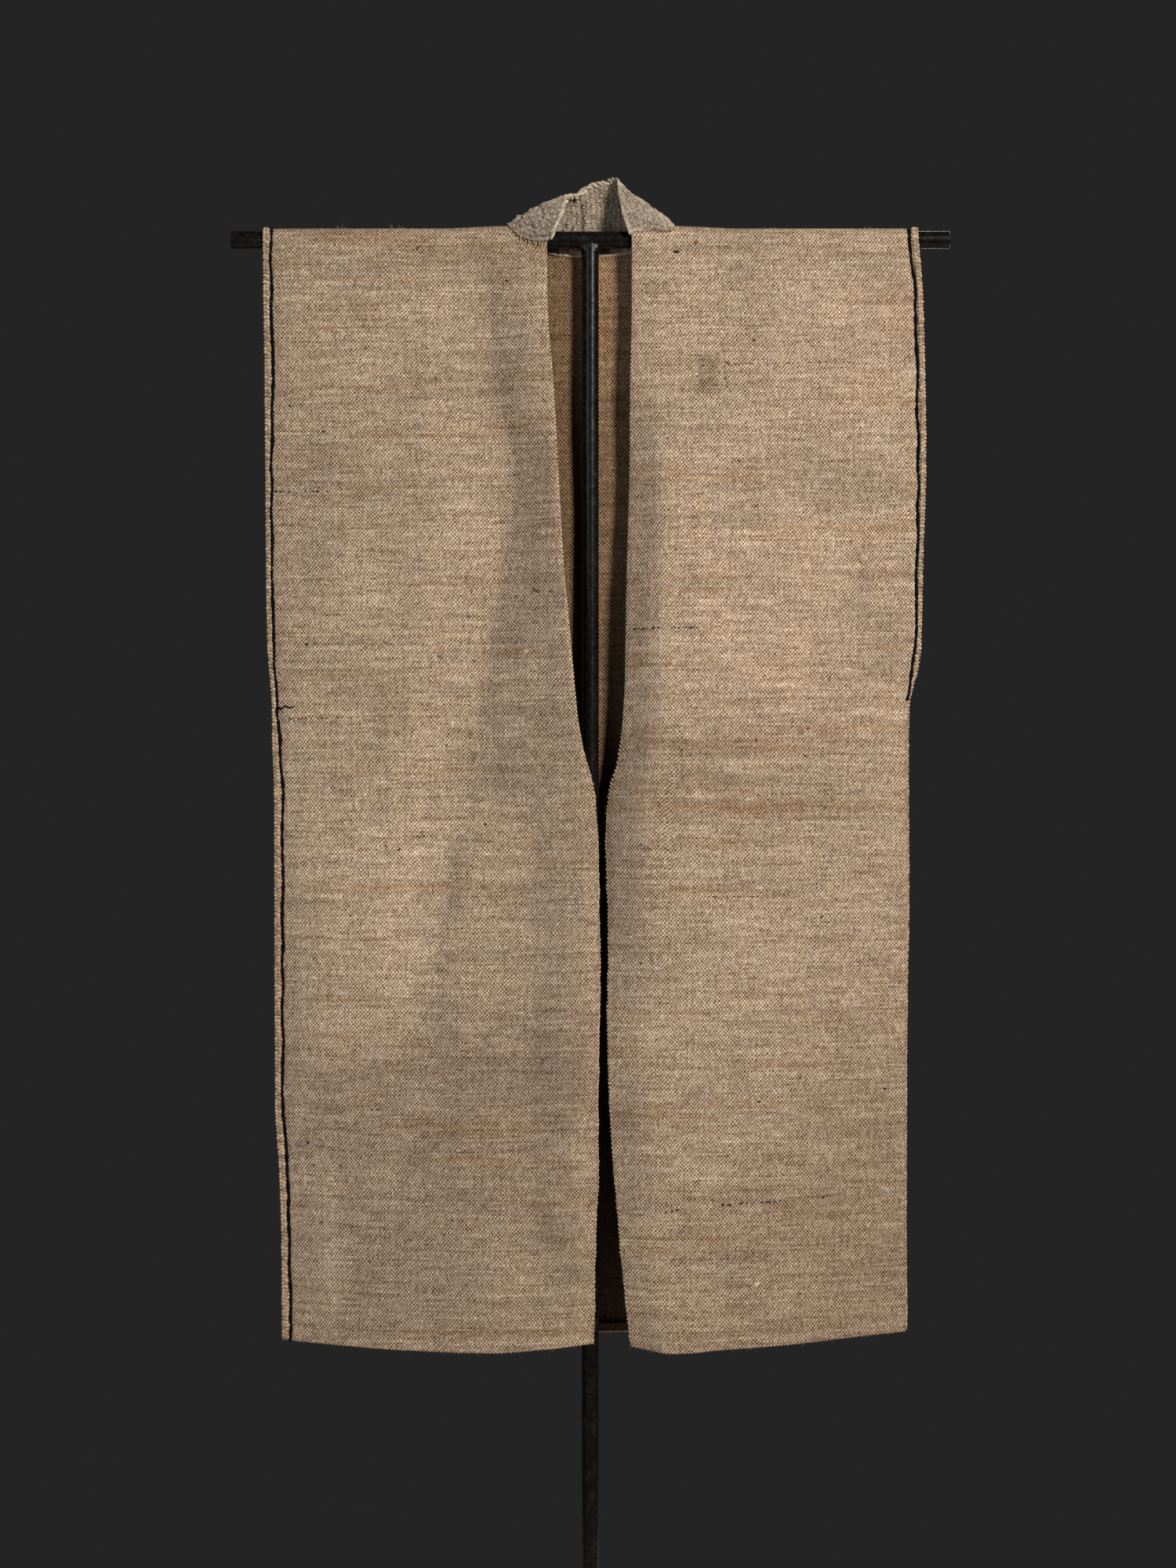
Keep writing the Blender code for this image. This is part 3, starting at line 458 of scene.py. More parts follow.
# Sideways run of the threads in pitches, across and along: broad, then short
DRIFT_REACH = (1.6, 1.4)
JOG_REACH = (0.7, 0.6)
# Noise of the weave: scale, detail, roughness
WEAVE_DRIFT = (70.0, 2.0, 0.6)
WEAVE_JOG = (330.0, 1.0, 0.5)
WEAVE_FINE = (800.0, 2.0, 0.6)
WEAVE_NEPS = (190.0, 1.0, 0.5)
WEAVE_RUST = (260.0, 1.0, 0.5)
RUST_STRETCH = 0.6
WEAVE_BROAD = (15.0, 4.0, 0.62)
WEAVE_COOL = (31.0, 3.0, 0.6)
# Noise drawn out along the threads: scale across, scale along, detail, roughness
WARP_NOISE = (0.73, 90.0, 2.0, 0.6)
WEFT_NOISE = (24.0, 0.83, 3.0, 0.62)
DOT_NOISE = (0.61, 0.67, 1.0, 0.5)
BAND_NOISE = (3.0, 85.0, 3.0, 0.65)
PICK_NOISE = (7.0, 0.47, 1.0, 0.5)
END_NOISE = (0.41, 5.0, 1.0, 0.5)
# Specks and patches: the stretch of noise that shows them, their strength, their colour or factor
NEPS = ((0.72, 0.80), 0.35, (0.46, 0.40, 0.33))
RUST = ((0.72, 0.80), 0.4, (0.27, 0.135, 0.052))
WARM_BANDS = ((0.42, 0.30), 0.5, (0.98, 0.83, 0.66))
COOL_PATCHES = ((0.56, 0.70), 0.5, (0.93, 0.97, 1.05))

# Thread, cotton and steel: noises as above, tones as places on a ramp with their colours
THREAD_FINE = (900.0, 2.0, 0.6)
THREAD_TWIST = 520.0
THREAD_RELIEF = 0.16
COTTON_PITCH = 1.1
COTTON_RELIEF = 0.35
COTTON_BROAD = (60.0, 4.0, 0.65)
COTTON_FINE = (620.0, 3.0, 0.7)
COTTON_BROAD_SPREAD = 0.55
COTTON_FINE_SPREAD = 0.45
COTTON_TONES = (
    (0.12, (0.045, 0.034, 0.026)),
    (0.42, (0.20, 0.160, 0.118)),
    (0.62, (0.33, 0.275, 0.21)),
    (0.9, (0.50, 0.43, 0.34)),
)
STEEL_NOISE = ((95.0, 2.0, 0.5), (210.0, 4.0, 0.7), (1500.0, 2.0, 0.6))
STEEL_RELIEF = 0.6
HAMMERING = {"x": 0.8, "z": 0.8, None: 0.3}
STEEL_TONES = (
    (0.30, (0.0030, 0.0024, 0.0020)),
    (0.52, (0.0058, 0.0048, 0.0042)),
    (0.74, (0.018, 0.016, 0.0145)),
)
WALL_TURN = (0.97, 0.99)
FLOOR_NOISE = (3.0, 3.0, 0.5)
SHEEN_ROUGHNESS = 0.6

# Sewing
SEWING_SEEDS = {"left": 21, "right": 22, "neckband": 23}
BACK_STITCH = 13.8
STITCH_OVERLAP = 1.14
STITCH_FLATNESS = 0.8
FIBRE_POINTS = 7
BLACK_THREAD = 1.5
SEAM_WAVE = 0.6
SEAM_WAVE_RUNS = (9.5, 37.0)
SEAM_SHIFT = 0.45
SEAM_RISE = 1.2
SEAM_FIBRE_SHARE = 0.22
PALE_FIBRE_SHARE = 0.4
SEAM_POINTS = 9
SEAM_END = 2.0
HEM_STITCH_ABOVE = 9.6
HEM_STITCH_STEP = 9.9
HEM_STITCH_SHARE = 0.88
HEM_STITCH_LENGTHS = (3.4, 5.2)
HEM_STITCH_SLANTS = (0.32, 0.62)
HEM_MARGINS = (9.0, 5.0)
HEM_THREAD = 0.52
LOOP_STEP = 3.8
LOOP_INSET = 1.0
LOOP_REACH = 0.8
LOOP_THREAD = 0.62
LOOP_HALF_WIDTH = 1.35
LOOP_TUCK = 1.1
BRAID_STEP = 3.3
BRAID_SLANT = 3.1
BRAID_THREAD = 1.45
BRAID_INSETS = (0.6, 1.3)
BRAID_SHARES = (0.52, 0.44)
BRAID_RISE = (-0.45, 0.2, 0.2, -0.45)
BRAID_SWELL = (0.6, 1.0, 1.0, 0.6)
EDGE_MARGIN = 3.0
# Loose fibres of the hem and the loose edge: number, shortest and longest, thickness
HEM_FIBRES = (24, (1.0, 3.4), 0.12)
EDGE_FIBRES = (44, (1.0, 3.2), 0.11)
EDGE_FIBRE_ROW = 100.0
FIBRE_CURL = 1.2
SEAM_FIBRE = (2.6, 0.16)
# Unevenness of sewing and threads: least and most share of the plain size
SEAM_LENGTHS = (0.85, 1.15)
SEAM_SIZES = (0.78, 1.2)
HEM_STEPS = (0.8, 1.25)
LOOP_REACHES = (0.5, 1.5)
LOOP_SIZES = (0.85, 1.15)
LOOP_STEPS = (0.9, 1.1)
BRAID_SLANTS = (0.5, 1.3)
BRAID_SIZES = (0.7, 1.15)
BRAID_STEPS = (0.88, 1.12)
PICK_SIZES = (0.7, 1.1)
FLECK_SIZES = (0.55, 0.9)
FLECK_LENGTHS = (0.5, 1.0)
SHOULDER_LENGTHS = (0.4, 1.0)
QUILT_LENGTHS = (0.8, 1.15)
WHIP_SIZES = (0.8, 1.15)
WHIP_SPREAD = (0.8, 1.2)
LOOSE_EDGE_START = {-1: 455.0, 1: 470.0}
HIDDEN_SEAM_DROP = 432.0
# Bar tacks at the feet of the armholes: out, drop, then the tail's places beside them
TACK_SWELL = 1.5
TAIL_THREAD = 0.55
TACKS = {
    "left": (299.0, 443.0, ((-0.5, 0.0), (2.0, 0.2), (4.5, 0.0), (7.0, 1.2), (11.0, -1.9), (15.0, 0.2),
                            (19.0, -0.8))),
    "right": (301.0, 435.0, ((-1.0, 0.0), (0.2, 0.3), (1.8, 0.0))),
}
# Fibres that stand up on the shoulders in tufts: places out, and length
SHOULDER_TUFT = 4
SHOULDER_FIBRES = {"left": ((178.0, 184.0, 236.0), 4.0), "right": ((264.0, 170.0), 3.0)}

# Neckband
COLLAR_WALL = 3.0
COLLAR_REACH = 78.5
COLLAR_OVERLAP = 4.7
COLLAR_ROUND = {**NECK_ROUND, "right_front": 0.1}
COLLAR_CORNER = {"left_front": 0.0, "right_front": 0.75, "left_back": 0.0, "right_back": 0.0}
COLLAR_STEPS = 400
COLLAR_LEVELS = 84
COLLAR_SMOOTHING = 15
COLLAR_THIN_RUN = 9.0
COLLAR_CAP_STEPS = 6
COLLAR_INSET = 0.2
PUFF_SEEDS = {"outer": 71, "inner": 77}
COLLAR_SWELL_LEAN = ((-0.5, 1.35), (0.0, 0.8))
COLLAR_THINNING = 1.2
QUILT_DIMPLE = 1.3
QUILT_DIMPLE_WIDTH = 2.3
QUILT_VALLEY = 0.9
QUILT_PUFF = 1.2
QUILT_PUFF_STEPS = (6.5, 3.2)
QUILT_MARGIN = 1.6
QUILT_FIND = 1.1
QUILT_SCATTER = (0.5, 0.3, 0.25)
QUILT_MOST_PULL = 1.3 * QUILT_DIMPLE
# Painted shade: how much the quilting's dimples and the inner face's creases darken the colour
QUILT_SHADE = 0.42
CREASE_SHADE = 0.24
CREASE_FADE = (0.9, 1.3)
NECK_WRAP = 5.2
NECK_WRAP_HEIGHT = 6.5
WRAP_FADE = (0.85, 1.0)
WHIP_FIRST_STEP = 5
WHIP_LEVEL = 2.2
WHIP_REACH = {-1: 4.2, 1: 2.2}
WHIP_THREAD = {-1: 0.8, 1: 0.5}
WHIP_STEP = {-1: 4.6, 1: 4.0}
ROPE_PITCH = 13.0
ROPE_STEP = 0.7
ROPE_SPREAD = 0.85
ROPE_END_TURN = 0.55
ROPE_RADII = ((-2.0, 1.1), (-1.9, 1.4), (-1.4, 1.7), (-0.6, 1.85), (0.3, 1.75), (ROPE_END_TURN, 1.1))
ROPE_FIBRES = 26
ROPE_FIBRE_LENGTHS = (1.5, 4.0)
# Sway of the cord upwards, outwards and round its turn: reach, step and seed. Its swell likewise.
ROPE_SWAYS = ((0.9, 11.0, 41), (0.7, 8.0, 42), (1.3, 16.0, 43))
ROPE_SWELL = (0.28, 3.4, 44)

# Quilting as seen from the front: whether on the outer face, first and last turn, which way that face
# looks, slant in degrees, step along a row, step between rows, length and thickness of a stitch.
QUILTING = (
    (True, -2.0, -0.85, -1, 60.0, 8.6, 4.9, 4.2, 0.50),
    (True, 0.85, 2.0, -1, 112.0, 8.6, 5.2, 4.2, 0.50),
    (True, -1.1, 1.1, 1, 2.0, 9.3, 4.9, 3.4, 0.55),
    (False, -1.3, 1.1, -1, 4.0, 9.4, 4.9, 3.1, 0.62),
    (False, -2.0, -1.0, 1, 60.0, 8.6, 4.9, 3.4, 0.50),
    (False, 1.0, 2.0, 1, 112.0, 8.6, 5.2, 3.4, 0.50),
)
# Creases of the inner face as seen from the front: depth, width, then places across and above the
# crossbar. A negative depth is a ridge.
COLLAR_CREASES = (
    (1.9, 1.8, ((-8.5, 2.0), (-7.5, 22.0), (-9.0, 42.0))),
    (-1.3, 2.8, ((-3.5, 2.0), (-3.0, 24.0), (-4.5, 44.0))),
    (2.4, 1.7, ((-30.0, 6.0), (-21.0, 22.0))),
    (2.4, 1.6, ((-25.0, 3.0), (-14.5, 18.5))),
    (2.2, 1.5, ((-17.0, 2.0), (-10.0, 14.5))),
    (-1.3, 2.0, ((-20.0, 3.0), (-12.0, 16.0))),
    (1.4, 1.6, ((3.0, 0.0), (6.0, 11.0))),
    (1.0, 1.5, ((14.0, 2.0), (13.0, 16.0), (15.0, 32.0))),
    (0.8, 1.3, ((-16.0, 30.0), (-15.0, 44.0))),
)
# Painted shade on the left flap, which faces away from the light, and painted light on the right flap:
# turn, factor
COLLAR_PAINTED_LIGHT_AND_SHADE = ((-2.0, 0.72), (-1.15, 0.74), (-0.9, 0.95), (0.9, 1.0), (1.15, 1.04), (2.0, 1.08))
# Colour factors of each face; the warmer, darker inner face is partly painted shade
OUTER_COLLAR_TONE = (1.02, 0.99, 0.96)
INNER_COLLAR_TONE = (0.98, 0.91, 0.84)
# Painted light on the foot of the inner face at the back, under the crossbar, which lies in its shadow:
# levels, reach in turns, factor
PAINTED_LIGHT_LEVELS = 12
PAINTED_LIGHT_REACH = 0.85
PAINTED_LIGHT_STRIP = 1.45

# turn, across, behind, above, swell
COLLAR_EDGE = (
    (-2.0, -37.0, -13.4, -1.5, 0.0),
    (-1.8, -34.5, -13.2, 9.0, 0.8),
    (-1.6, -31.0, -12.4, 17.0, 2.5),
    (-1.4, -27.6, -10.5, 23.0, 3.0),
    (-1.2, -25.2, -7.0, 30.2, 3.0),
    (-1.0, -23.0, -2.0, 37.2, 3.2),
    (-0.8, -19.0, 4.0, 40.3, 5.2),
    (-0.6, -13.0, 9.0, 41.5, 6.0),
    (-0.4, -6.5, 13.0, 45.5, 5.0),
    (-0.2, 0.5, 15.0, 52.0, 4.0),
    (0.0, 8.0, 16.0, 54.8, 3.5),
    (0.2, 14.0, 16.0, 56.2, 3.0),
    (0.4, 19.0, 13.5, 58.0, 3.0),
    (0.6, 22.8, 9.5, 58.2, 2.5),
    (0.8, 25.2, 4.5, 55.0, 1.5),
    (1.0, 26.4, -0.5, 46.5, 1.2),
    (1.2, 27.6, -5.0, 36.2, 1.4),
    (1.4, 29.8, -9.0, 27.0, 1.5),
    (1.6, 32.2, -11.6, 16.5, 1.0),
    (1.8, 34.8, -13.2, 8.0, 0.5),
    (2.0, 36.6, -13.6, 2.6, 0.0),
)

# Camera, floor and light: places and sides in metres, power in watts
CAMERA_LENS = 77.59
CAMERA_SENSOR = 36.0
CAMERA_PLACE = (-0.00223, -3.2, 0.98478)
FLOOR_SIDE = 1.9
FLOOR_COLOUR = (0.62, 0.61, 0.59)
BACKGROUND = (0.0185, 0.0180, 0.0184)
# Square lamps: place, the point that the lamp looks at, side, power, colour
LIGHTS = {
    "key": ((1.55, -2.35, 2.35), (0.0, 0.0, 1.05), 0.55, 150.0, (1.0, 0.965, 0.91)),
    "fill": ((-1.7, -2.3, 1.3), (0.0, 0.0, 1.0), 1.6, 26.0, (0.92, 0.95, 1.0)),
    "back_fill": ((0.6, 2.6, 1.9), (0.0, 0.0, 1.0), 1.8, 45.0, (1.0, 0.98, 0.95)),
}


# Camera: level, square to the crossbar
camera_data = bpy.data.cameras.new("camera")
camera_data.lens = CAMERA_LENS
camera_data.sensor_width = CAMERA_SENSOR
camera_data.sensor_fit = "AUTO"
camera = bpy.data.objects.new("camera", camera_data)
camera.location = CAMERA_PLACE
camera.rotation_euler = (math.pi / 2.0, 0.0, 0.0)
bpy.context.scene.collection.objects.link(camera)
bpy.context.scene.camera = camera


# Curves, noise and lengths
def soft_curve(knots, values, at):
    """Values at places between a table's rows, smooth and without overshoot."""
    knots = np.asarray(knots, float)
    values = np.asarray(values, float)
    at = np.clip(np.asarray(at, float), knots[0], knots[-1])
    steps = np.diff(knots)
    slopes = np.diff(values) / steps
    lean = np.zeros(len(knots))
    lean[0], lean[-1] = slopes[0], slopes[-1]
    before, after = slopes[:-1], slopes[1:]
    weight_before = 2.0 * steps[1:] + steps[:-1]
    weight_after = steps[1:] + 2.0 * steps[:-1]
    same = before * after > 0.0
    safe_before = np.where(same, before, 1.0)
    safe_after = np.where(same, after, 1.0)
    mean = (weight_before + weight_after) / (weight_before / safe_before + weight_after / safe_after)
    lean[1:-1] = np.where(same, mean, 0.0)
    index = np.clip(np.searchsorted(knots, at, side="right") - 1, 0, len(steps) - 1)
    step = steps[index]
    share = (at - knots[index]) / step
    rest = 1.0 - share
    start = values[index] * (1.0 + 2.0 * share) * rest * rest
    end = values[index + 1] * (3.0 - 2.0 * share) * share * share
    return start + end + step * share * rest * (lean[index] * rest - lean[index + 1] * share)


def smooth_share(value, low, high):
    """0 below low, 1 above high and smooth between."""
    share = np.clip((np.asarray(value, float) - low) / (high - low), 0.0, 1.0)
    return share * share * (3.0 - 2.0 * share)


def soft_noise(across, along, step, seed):
    """Smooth random values from -1 to 1 over a surface, with knots a step apart."""
    places = [np.asarray(across, float) / step, np.asarray(along, float) / step]
    firsts = [int(np.floor(place.min())) - 1 for place in places]
    size = [int(np.ceil(place.max())) - first + 3 for place, first in zip(places, firsts)]
    knots = np.random.default_rng(seed).uniform(-1.0, 1.0, size)
    lows = [np.floor(place - first).astype(int) for place, first in zip(places, firsts)]
    shares = [smooth_share(place - first - low, 0.0, 1.0)
              for place, first, low in zip(places, firsts, lows)]
    a, b = lows
    near = knots[a, b] * (1.0 - shares[1]) + knots[a, b + 1] * shares[1]
    far = knots[a + 1, b] * (1.0 - shares[1]) + knots[a + 1, b + 1] * shares[1]
    return near * (1.0 - shares[0]) + far * shares[0]


def path_gap(across, along, places):
    """Signed distance to a path, positive on the side edge's side, and the share along it."""
    places = np.asarray(places, float)
    lengths = np.linalg.norm(np.diff(places, axis=0), axis=1)
    before = np.concatenate(([0.0], np.cumsum(lengths)))
    best = np.full(across.shape, np.inf)
    side = np.ones(across.shape)
    share_along = np.zeros(across.shape)
    for number, (start, end) in enumerate(zip(places, places[1:])):
        run = end - start
        share = ((across - start[0]) * run[0] + (along - start[1]) * run[1]) / (run @ run)
        share = np.clip(share, 0.0, 1.0)
        gap_across = across - start[0] - run[0] * share
        gap_along = along - start[1] - run[1] * share
        gap = np.hypot(gap_across, gap_along)
        nearer = gap < best
        best = np.where(nearer, gap, best)
        side = np.where(nearer, np.where(gap_across >= 0.0, 1.0, -1.0), side)
        at = (before[number] + lengths[number] * share) / before[-1]
        share_along = np.where(nearer, at, share_along)
    return best * side, share_along


def unit(vectors):
    """Vectors of length 1."""
    vectors = np.asarray(vectors, float)
    return vectors / np.maximum(np.linalg.norm(vectors, axis=-1, keepdims=True), 1e-9)


def run_lengths(places):
    """Length along a line of places, up to each of them."""
    return np.concatenate(([0.0], np.cumsum(np.linalg.norm(np.diff(places, axis=0), axis=1))))


def line_noise(at, step, seed):
    """Smooth random values from -1 to 1 along a line."""
    return soft_noise(at, np.zeros(np.shape(at)), step, seed)


# Meshes
def make_piece(name, points, faces, tints, corner_cuts=None, point_cuts=None):
    """An object from points in millimetres, measured from the crossbar's middle."""
    mesh = bpy.data.meshes.new(name)
    world = np.asarray(points, float) * MM
    world[:, 2] += ROD_AXIS_HEIGHT * MM
    mesh.from_pydata(world.tolist(), [], faces)
    mesh.update()
    layer = mesh.uv_layers.new(name="cut")
    if point_cuts is not None:
        corners = np.zeros(len(mesh.loops), np.int32)
        mesh.loops.foreach_get("vertex_index", corners)
        corner_cuts = np.asarray(point_cuts, float)[corners]
    layer.data.foreach_set("uv", np.asarray(corner_cuts, np.float32).ravel())
    colour = mesh.color_attributes.new(name="tint", type="FLOAT_COLOR", domain="POINT")
    full = np.column_stack((np.asarray(tints, float), np.ones(len(world))))
    colour.data.foreach_set("color", full.astype(np.float32).ravel())
    mesh.shade_smooth()
    item = bpy.data.objects.new(name, mesh)
    bpy.context.scene.collection.objects.link(item)
    return item


def point_normals(points, faces):
    """Normal at each point of a surface."""
    mesh = bpy.data.meshes.new("measure")
    mesh.from_pydata(np.asarray(points, float).tolist(), [], faces)
    mesh.update()
    normals = np.zeros(len(points) * 3)
    mesh.vertices.foreach_get("normal", normals)
    bpy.data.meshes.remove(mesh)
    return normals.reshape(-1, 3)


def grid_faces(index):
    """Four-cornered faces of a grid of point numbers."""
    quads = np.stack((index[:-1, :-1], index[:-1, 1:], index[1:, 1:], index[1:, :-1]), axis=2)
    return quads.reshape(-1, 4).tolist()


class Threads:
    """Many short threads gathered into one mesh."""

    def __init__(self, seed):
        self.random = np.random.default_rng(seed)
        self.points = []
        self.faces = []
        self.cuts = []
        self.tints = []
        self.count = 0

    def add(self, places, radii, tint, facing, sides, flat=1.0):
        """A closed tube along places. facing: the way its flatter side looks."""
        places = np.asarray(places, float)
        number = len(places)
        radii = np.broadcast_to(np.asarray(radii, float), (number,))
        runs = unit(np.gradient(places, axis=0))
        up = np.broadcast_to(np.asarray(facing, float), (number, 3))
        side = unit(np.cross(runs, up))
        top = np.cross(side, runs)
        angles = np.arange(sides) * 2.0 * math.pi / sides
        ring = (side[:, None, :] * np.cos(angles)[None, :, None]
                + top[:, None, :] * np.sin(angles)[None, :, None] * flat)
        self.points.append((places[:, None, :] + ring * radii[:, None, None]).reshape(-1, 3))
        self.tints.append(np.tile(np.asarray(tint, float), (number * sides, 1)))
        run = run_lengths(places) * MM
        start = self.count
        cuts = []
        for step in range(number - 1):
            base = start + step * sides
            for turn in range(sides):
                beside = (turn + 1) % sides
                above = base + sides
                self.faces.append((base + turn, above + turn, above + beside, base + beside))
                low, high = turn / sides, (turn + 1) / sides
                cuts += [(low, run[step]), (low, run[step + 1]), (high, run[step + 1]), (high, run[step])]
        self.faces.append(tuple(range(start, start + sides)))
        last = start + (number - 1) * sides
        self.faces.append(tuple(range(last, last + sides))[::-1])
        cuts += [(turn / sides, run[0]) for turn in range(sides)]
        cuts += [(turn / sides, run[-1]) for turn in range(sides)][::-1]
        self.cuts += cuts
        self.count += number * sides

    def vary(self, tint, amount):
        """A colour a little lighter or darker."""
        return np.asarray(tint) * (1.0 + self.random.uniform(-amount, amount))

    def stitch(self, start, end, normal, radius, tint, lift, sink, steps=7):
        """One stitch: it leaves the cloth, lies on it and goes back in."""
        share = np.linspace(0.0, 1.0, steps)
        rise = lift * np.clip(np.sin(share * math.pi), 0.0, 1.0) ** 0.5 - sink
        rise = np.where((share == 0.0) | (share == 1.0), -sink, rise)
        places = start + (end - start) * share[:, None] + normal * rise[:, None]
        thick = radius * (0.72 + 0.28 * np.sin(share * math.pi) ** 0.5)
        self.add(places, thick, tint, normal, sides=6, flat=STITCH_FLATNESS)

    def fibre(self, start, way, length, radius, tint, curl):
        """One loose fibre with a random curl."""
        share = np.linspace(0.0, 1.0, FIBRE_POINTS)
        bend = unit(self.random.normal(size=3)) * curl
        twist = unit(self.random.normal(size=3)) * curl * 0.5
        places = (start + way * length * share[:, None] + bend * (share ** 2)[:, None]
                  + twist * np.sin(share * 5.0)[:, None])
        self.add(places, radius * (1.0 - 0.6 * share), tint, (0.0, -1.0, 0.0), sides=4)

    def build(self, name):
        return make_piece(name, np.concatenate(self.points), self.faces, np.concatenate(self.tints),
                          corner_cuts=self.cuts)


class Panel:
    """One hanging stretch of cloth, as a grid of points: rows down the cloth, columns inwards."""

    def __init__(self, name, side, facing, table):
        self.name = name
        self.side = side
        self.facing = facing
        self.table = np.asarray(table, float)
        self.hem = HEM_DROPS[name]
        self.seed = 100 + 10 * side + facing
        self.lay_out()

    def depth(self, depths, seam, inner, out):
        """Clear depth between the crossbar's middle plane and the cloth, row by row."""
        flat = BACK_SEAM_ALLOWANCE + SEAM_GAP if self.facing > 0 else 0.0
        share = (seam[:, None] - out) / (seam - inner - flat)[:, None]
        return np.array([soft_curve(DEPTH_SHARES, [value[row] for value in depths], share[row])
                         for row in range(len(seam))])

    def room(self, drop):
        """Width from the corner of the neck slash to the inner edge."""
        if self.facing > 0:
            return np.full(len(drop), SLASH_REACH)
        knots, widths = zip(*SLASH_FRONT_WIDTH)
        return soft_curve(knots, widths, drop)

    def fold_width(self, drop, room):
        """Width of the cloth turned under along the inner edge."""
        if self.facing > 0:
            return np.full(len(drop), BACK_SEAM_ALLOWANCE)
        share = np.clip(drop / NECK_FOLD_END, 0.0, 1.0)
        width = NECK_FOLD_TOP * (1.0 - share ** NECK_FOLD_FALL)
        return np.minimum(width, room - NECK_FOLD_LEAST)

    def lay_out(self):
        """Rows and columns of the panel, bent over the crossbar, with their distances from the edges."""
        # Rows: over the shoulder, down the cloth, round the fold of the hem
        half = SINGLE_CLOTH / 2.0
        rounding = half * np.array(ROUNDING_SHARES)
        shoulder = np.linspace(0.0, SHOULDER_QUARTER, SHOULDER_STEPS + 1)
        last = LEVEL_HEM_DROP - HEM_TURN_UP - TURN_STEP
        hanging = np.linspace(0.0, last, int(round(last / ROW_STEP)) + 1)[1:]
        above_hem = np.linspace(HEM_TURN_UP, LAST_HEM_ROW, HEM_ROWS)
        turned = LEVEL_HEM_DROP - np.concatenate((above_hem, rounding[::-1]))
        path = np.concatenate((shoulder, SHOULDER_QUARTER + hanging, SHOULDER_QUARTER + turned))
        drop = np.maximum(path - SHOULDER_QUARTER, 0.0)
        knots = self.table[:, 0]
        seam, flange, turn, inner, *depths = [soft_curve(knots, self.table[:, column], drop)
                                              for column in range(1, self.table.shape[1])]
        room = self.room(drop)
        fold = self.fold_width(drop, room)
        slash = inner + room
        rows = len(path)
        ones = np.ones(rows)

        # Columns: outside the sewn line, across the cloth, beside the neck or the opening
        edge_in = np.concatenate((rounding[:, None] * ones,
                                  [half + (flange - half) * share for share in FLANGE_SHARES]))
        reach = GRID_WIDTH - SLASH_REACH
        even = np.linspace(GROOVE_COLUMNS[-1], reach, int(round(reach / COLUMN_STEP)) + 1)
        main = np.concatenate((GROOVE_COLUMNS[:-1], even)) / reach
        main_out = seam + (slash - seam) * main[:, None]
        shares = np.linspace(1.0, 0.0, NECK_COLUMNS[self.facing] + 1)[1:]
        inner_in = np.concatenate(([half + (room - half) * share for share in shares],
                                   rounding[::-1][1:, None] * ones))
        self.flange_count = len(edge_in)
        self.corner = self.flange_count + len(main) - 1
        out = np.concatenate((np.zeros((self.flange_count, rows)), main_out, inner + inner_in)).T
        columns = out.shape[1]
        is_inner = (np.arange(columns) > self.corner)[None, :]

        # Lengths down each column, with the run of the hem and of the neck edge
        across = np.clip((seam[:, None] - out) / (seam - inner)[:, None], 0.0, 1.0)
        across[:, :self.flange_count] = 0.0
        hem_drop = soft_curve(DEPTH_SHARES, self.hem, across.ravel()).reshape(across.shape)
        share = np.clip((drop - HEM_BLEND_START) / (LEVEL_HEM_DROP - HEM_BLEND_START), 0.0, 1.0)
        paths = path[:, None] + (hem_drop - LEVEL_HEM_DROP) * share[:, None]
        neck_end = SHOULDER_QUARTER + NECK_LAST_DROP
        neck_share = np.clip((slash[:, None] - out) / room[:, None], 0.0, 1.0)
        start = NECK_PATH[self.name] * (1.0 - (1.0 - neck_share) ** NECK_FALL) ** NECK_ROUND[self.name]
        moved = start + (neck_end - start) * paths / neck_end
        paths = np.where(is_inner & (paths < neck_end), moved, paths)

        # Over the crossbar, and down from it
        on_arc = paths < SHOULDER_QUARTER
        angle = np.minimum(paths, SHOULDER_QUARTER) / OUTER_RADIUS
        lift_share = np.clip((out - SLASH_REACH) / SHOULDER_LIFT_WIDTH, 0.0, 1.0)
        lift = SHOULDER_LIFT * (1.0 - lift_share) ** 2 * (1.0 + 2.0 * lift_share)
        lift[:, :self.flange_count] = 0.0
        swing = np.where(on_arc, np.sin(angle), 1.0)
        drops = np.where(on_arc, -(OUTER_RADIUS + lift) * np.cos(angle), paths - SHOULDER_QUARTER)
        behind = self.facing * (self.depth(depths, seam, inner, out) + CLOTH_WALL)

        # The edge outside the sewn line, turned about that line
        turned = np.radians(turn)
        offset = (depths[0] + CLOTH_WALL) * self.facing
        line = (seam - offset * np.tan(turned / 2.0), offset)
        edge = (seam + flange * np.cos(turned) - offset * np.sin(turned),
                flange * np.sin(turned) + offset * np.cos(turned))
        for column in range(self.flange_count):
            share = edge_in[column] / flange
            out[:, column] = edge[0] + (line[0] - edge[0]) * share
            behind[:, column] = edge[1] + (line[1] - edge[1]) * share
        out[:, self.flange_count] = line[0]
        behind[:, self.flange_count] = line[1]

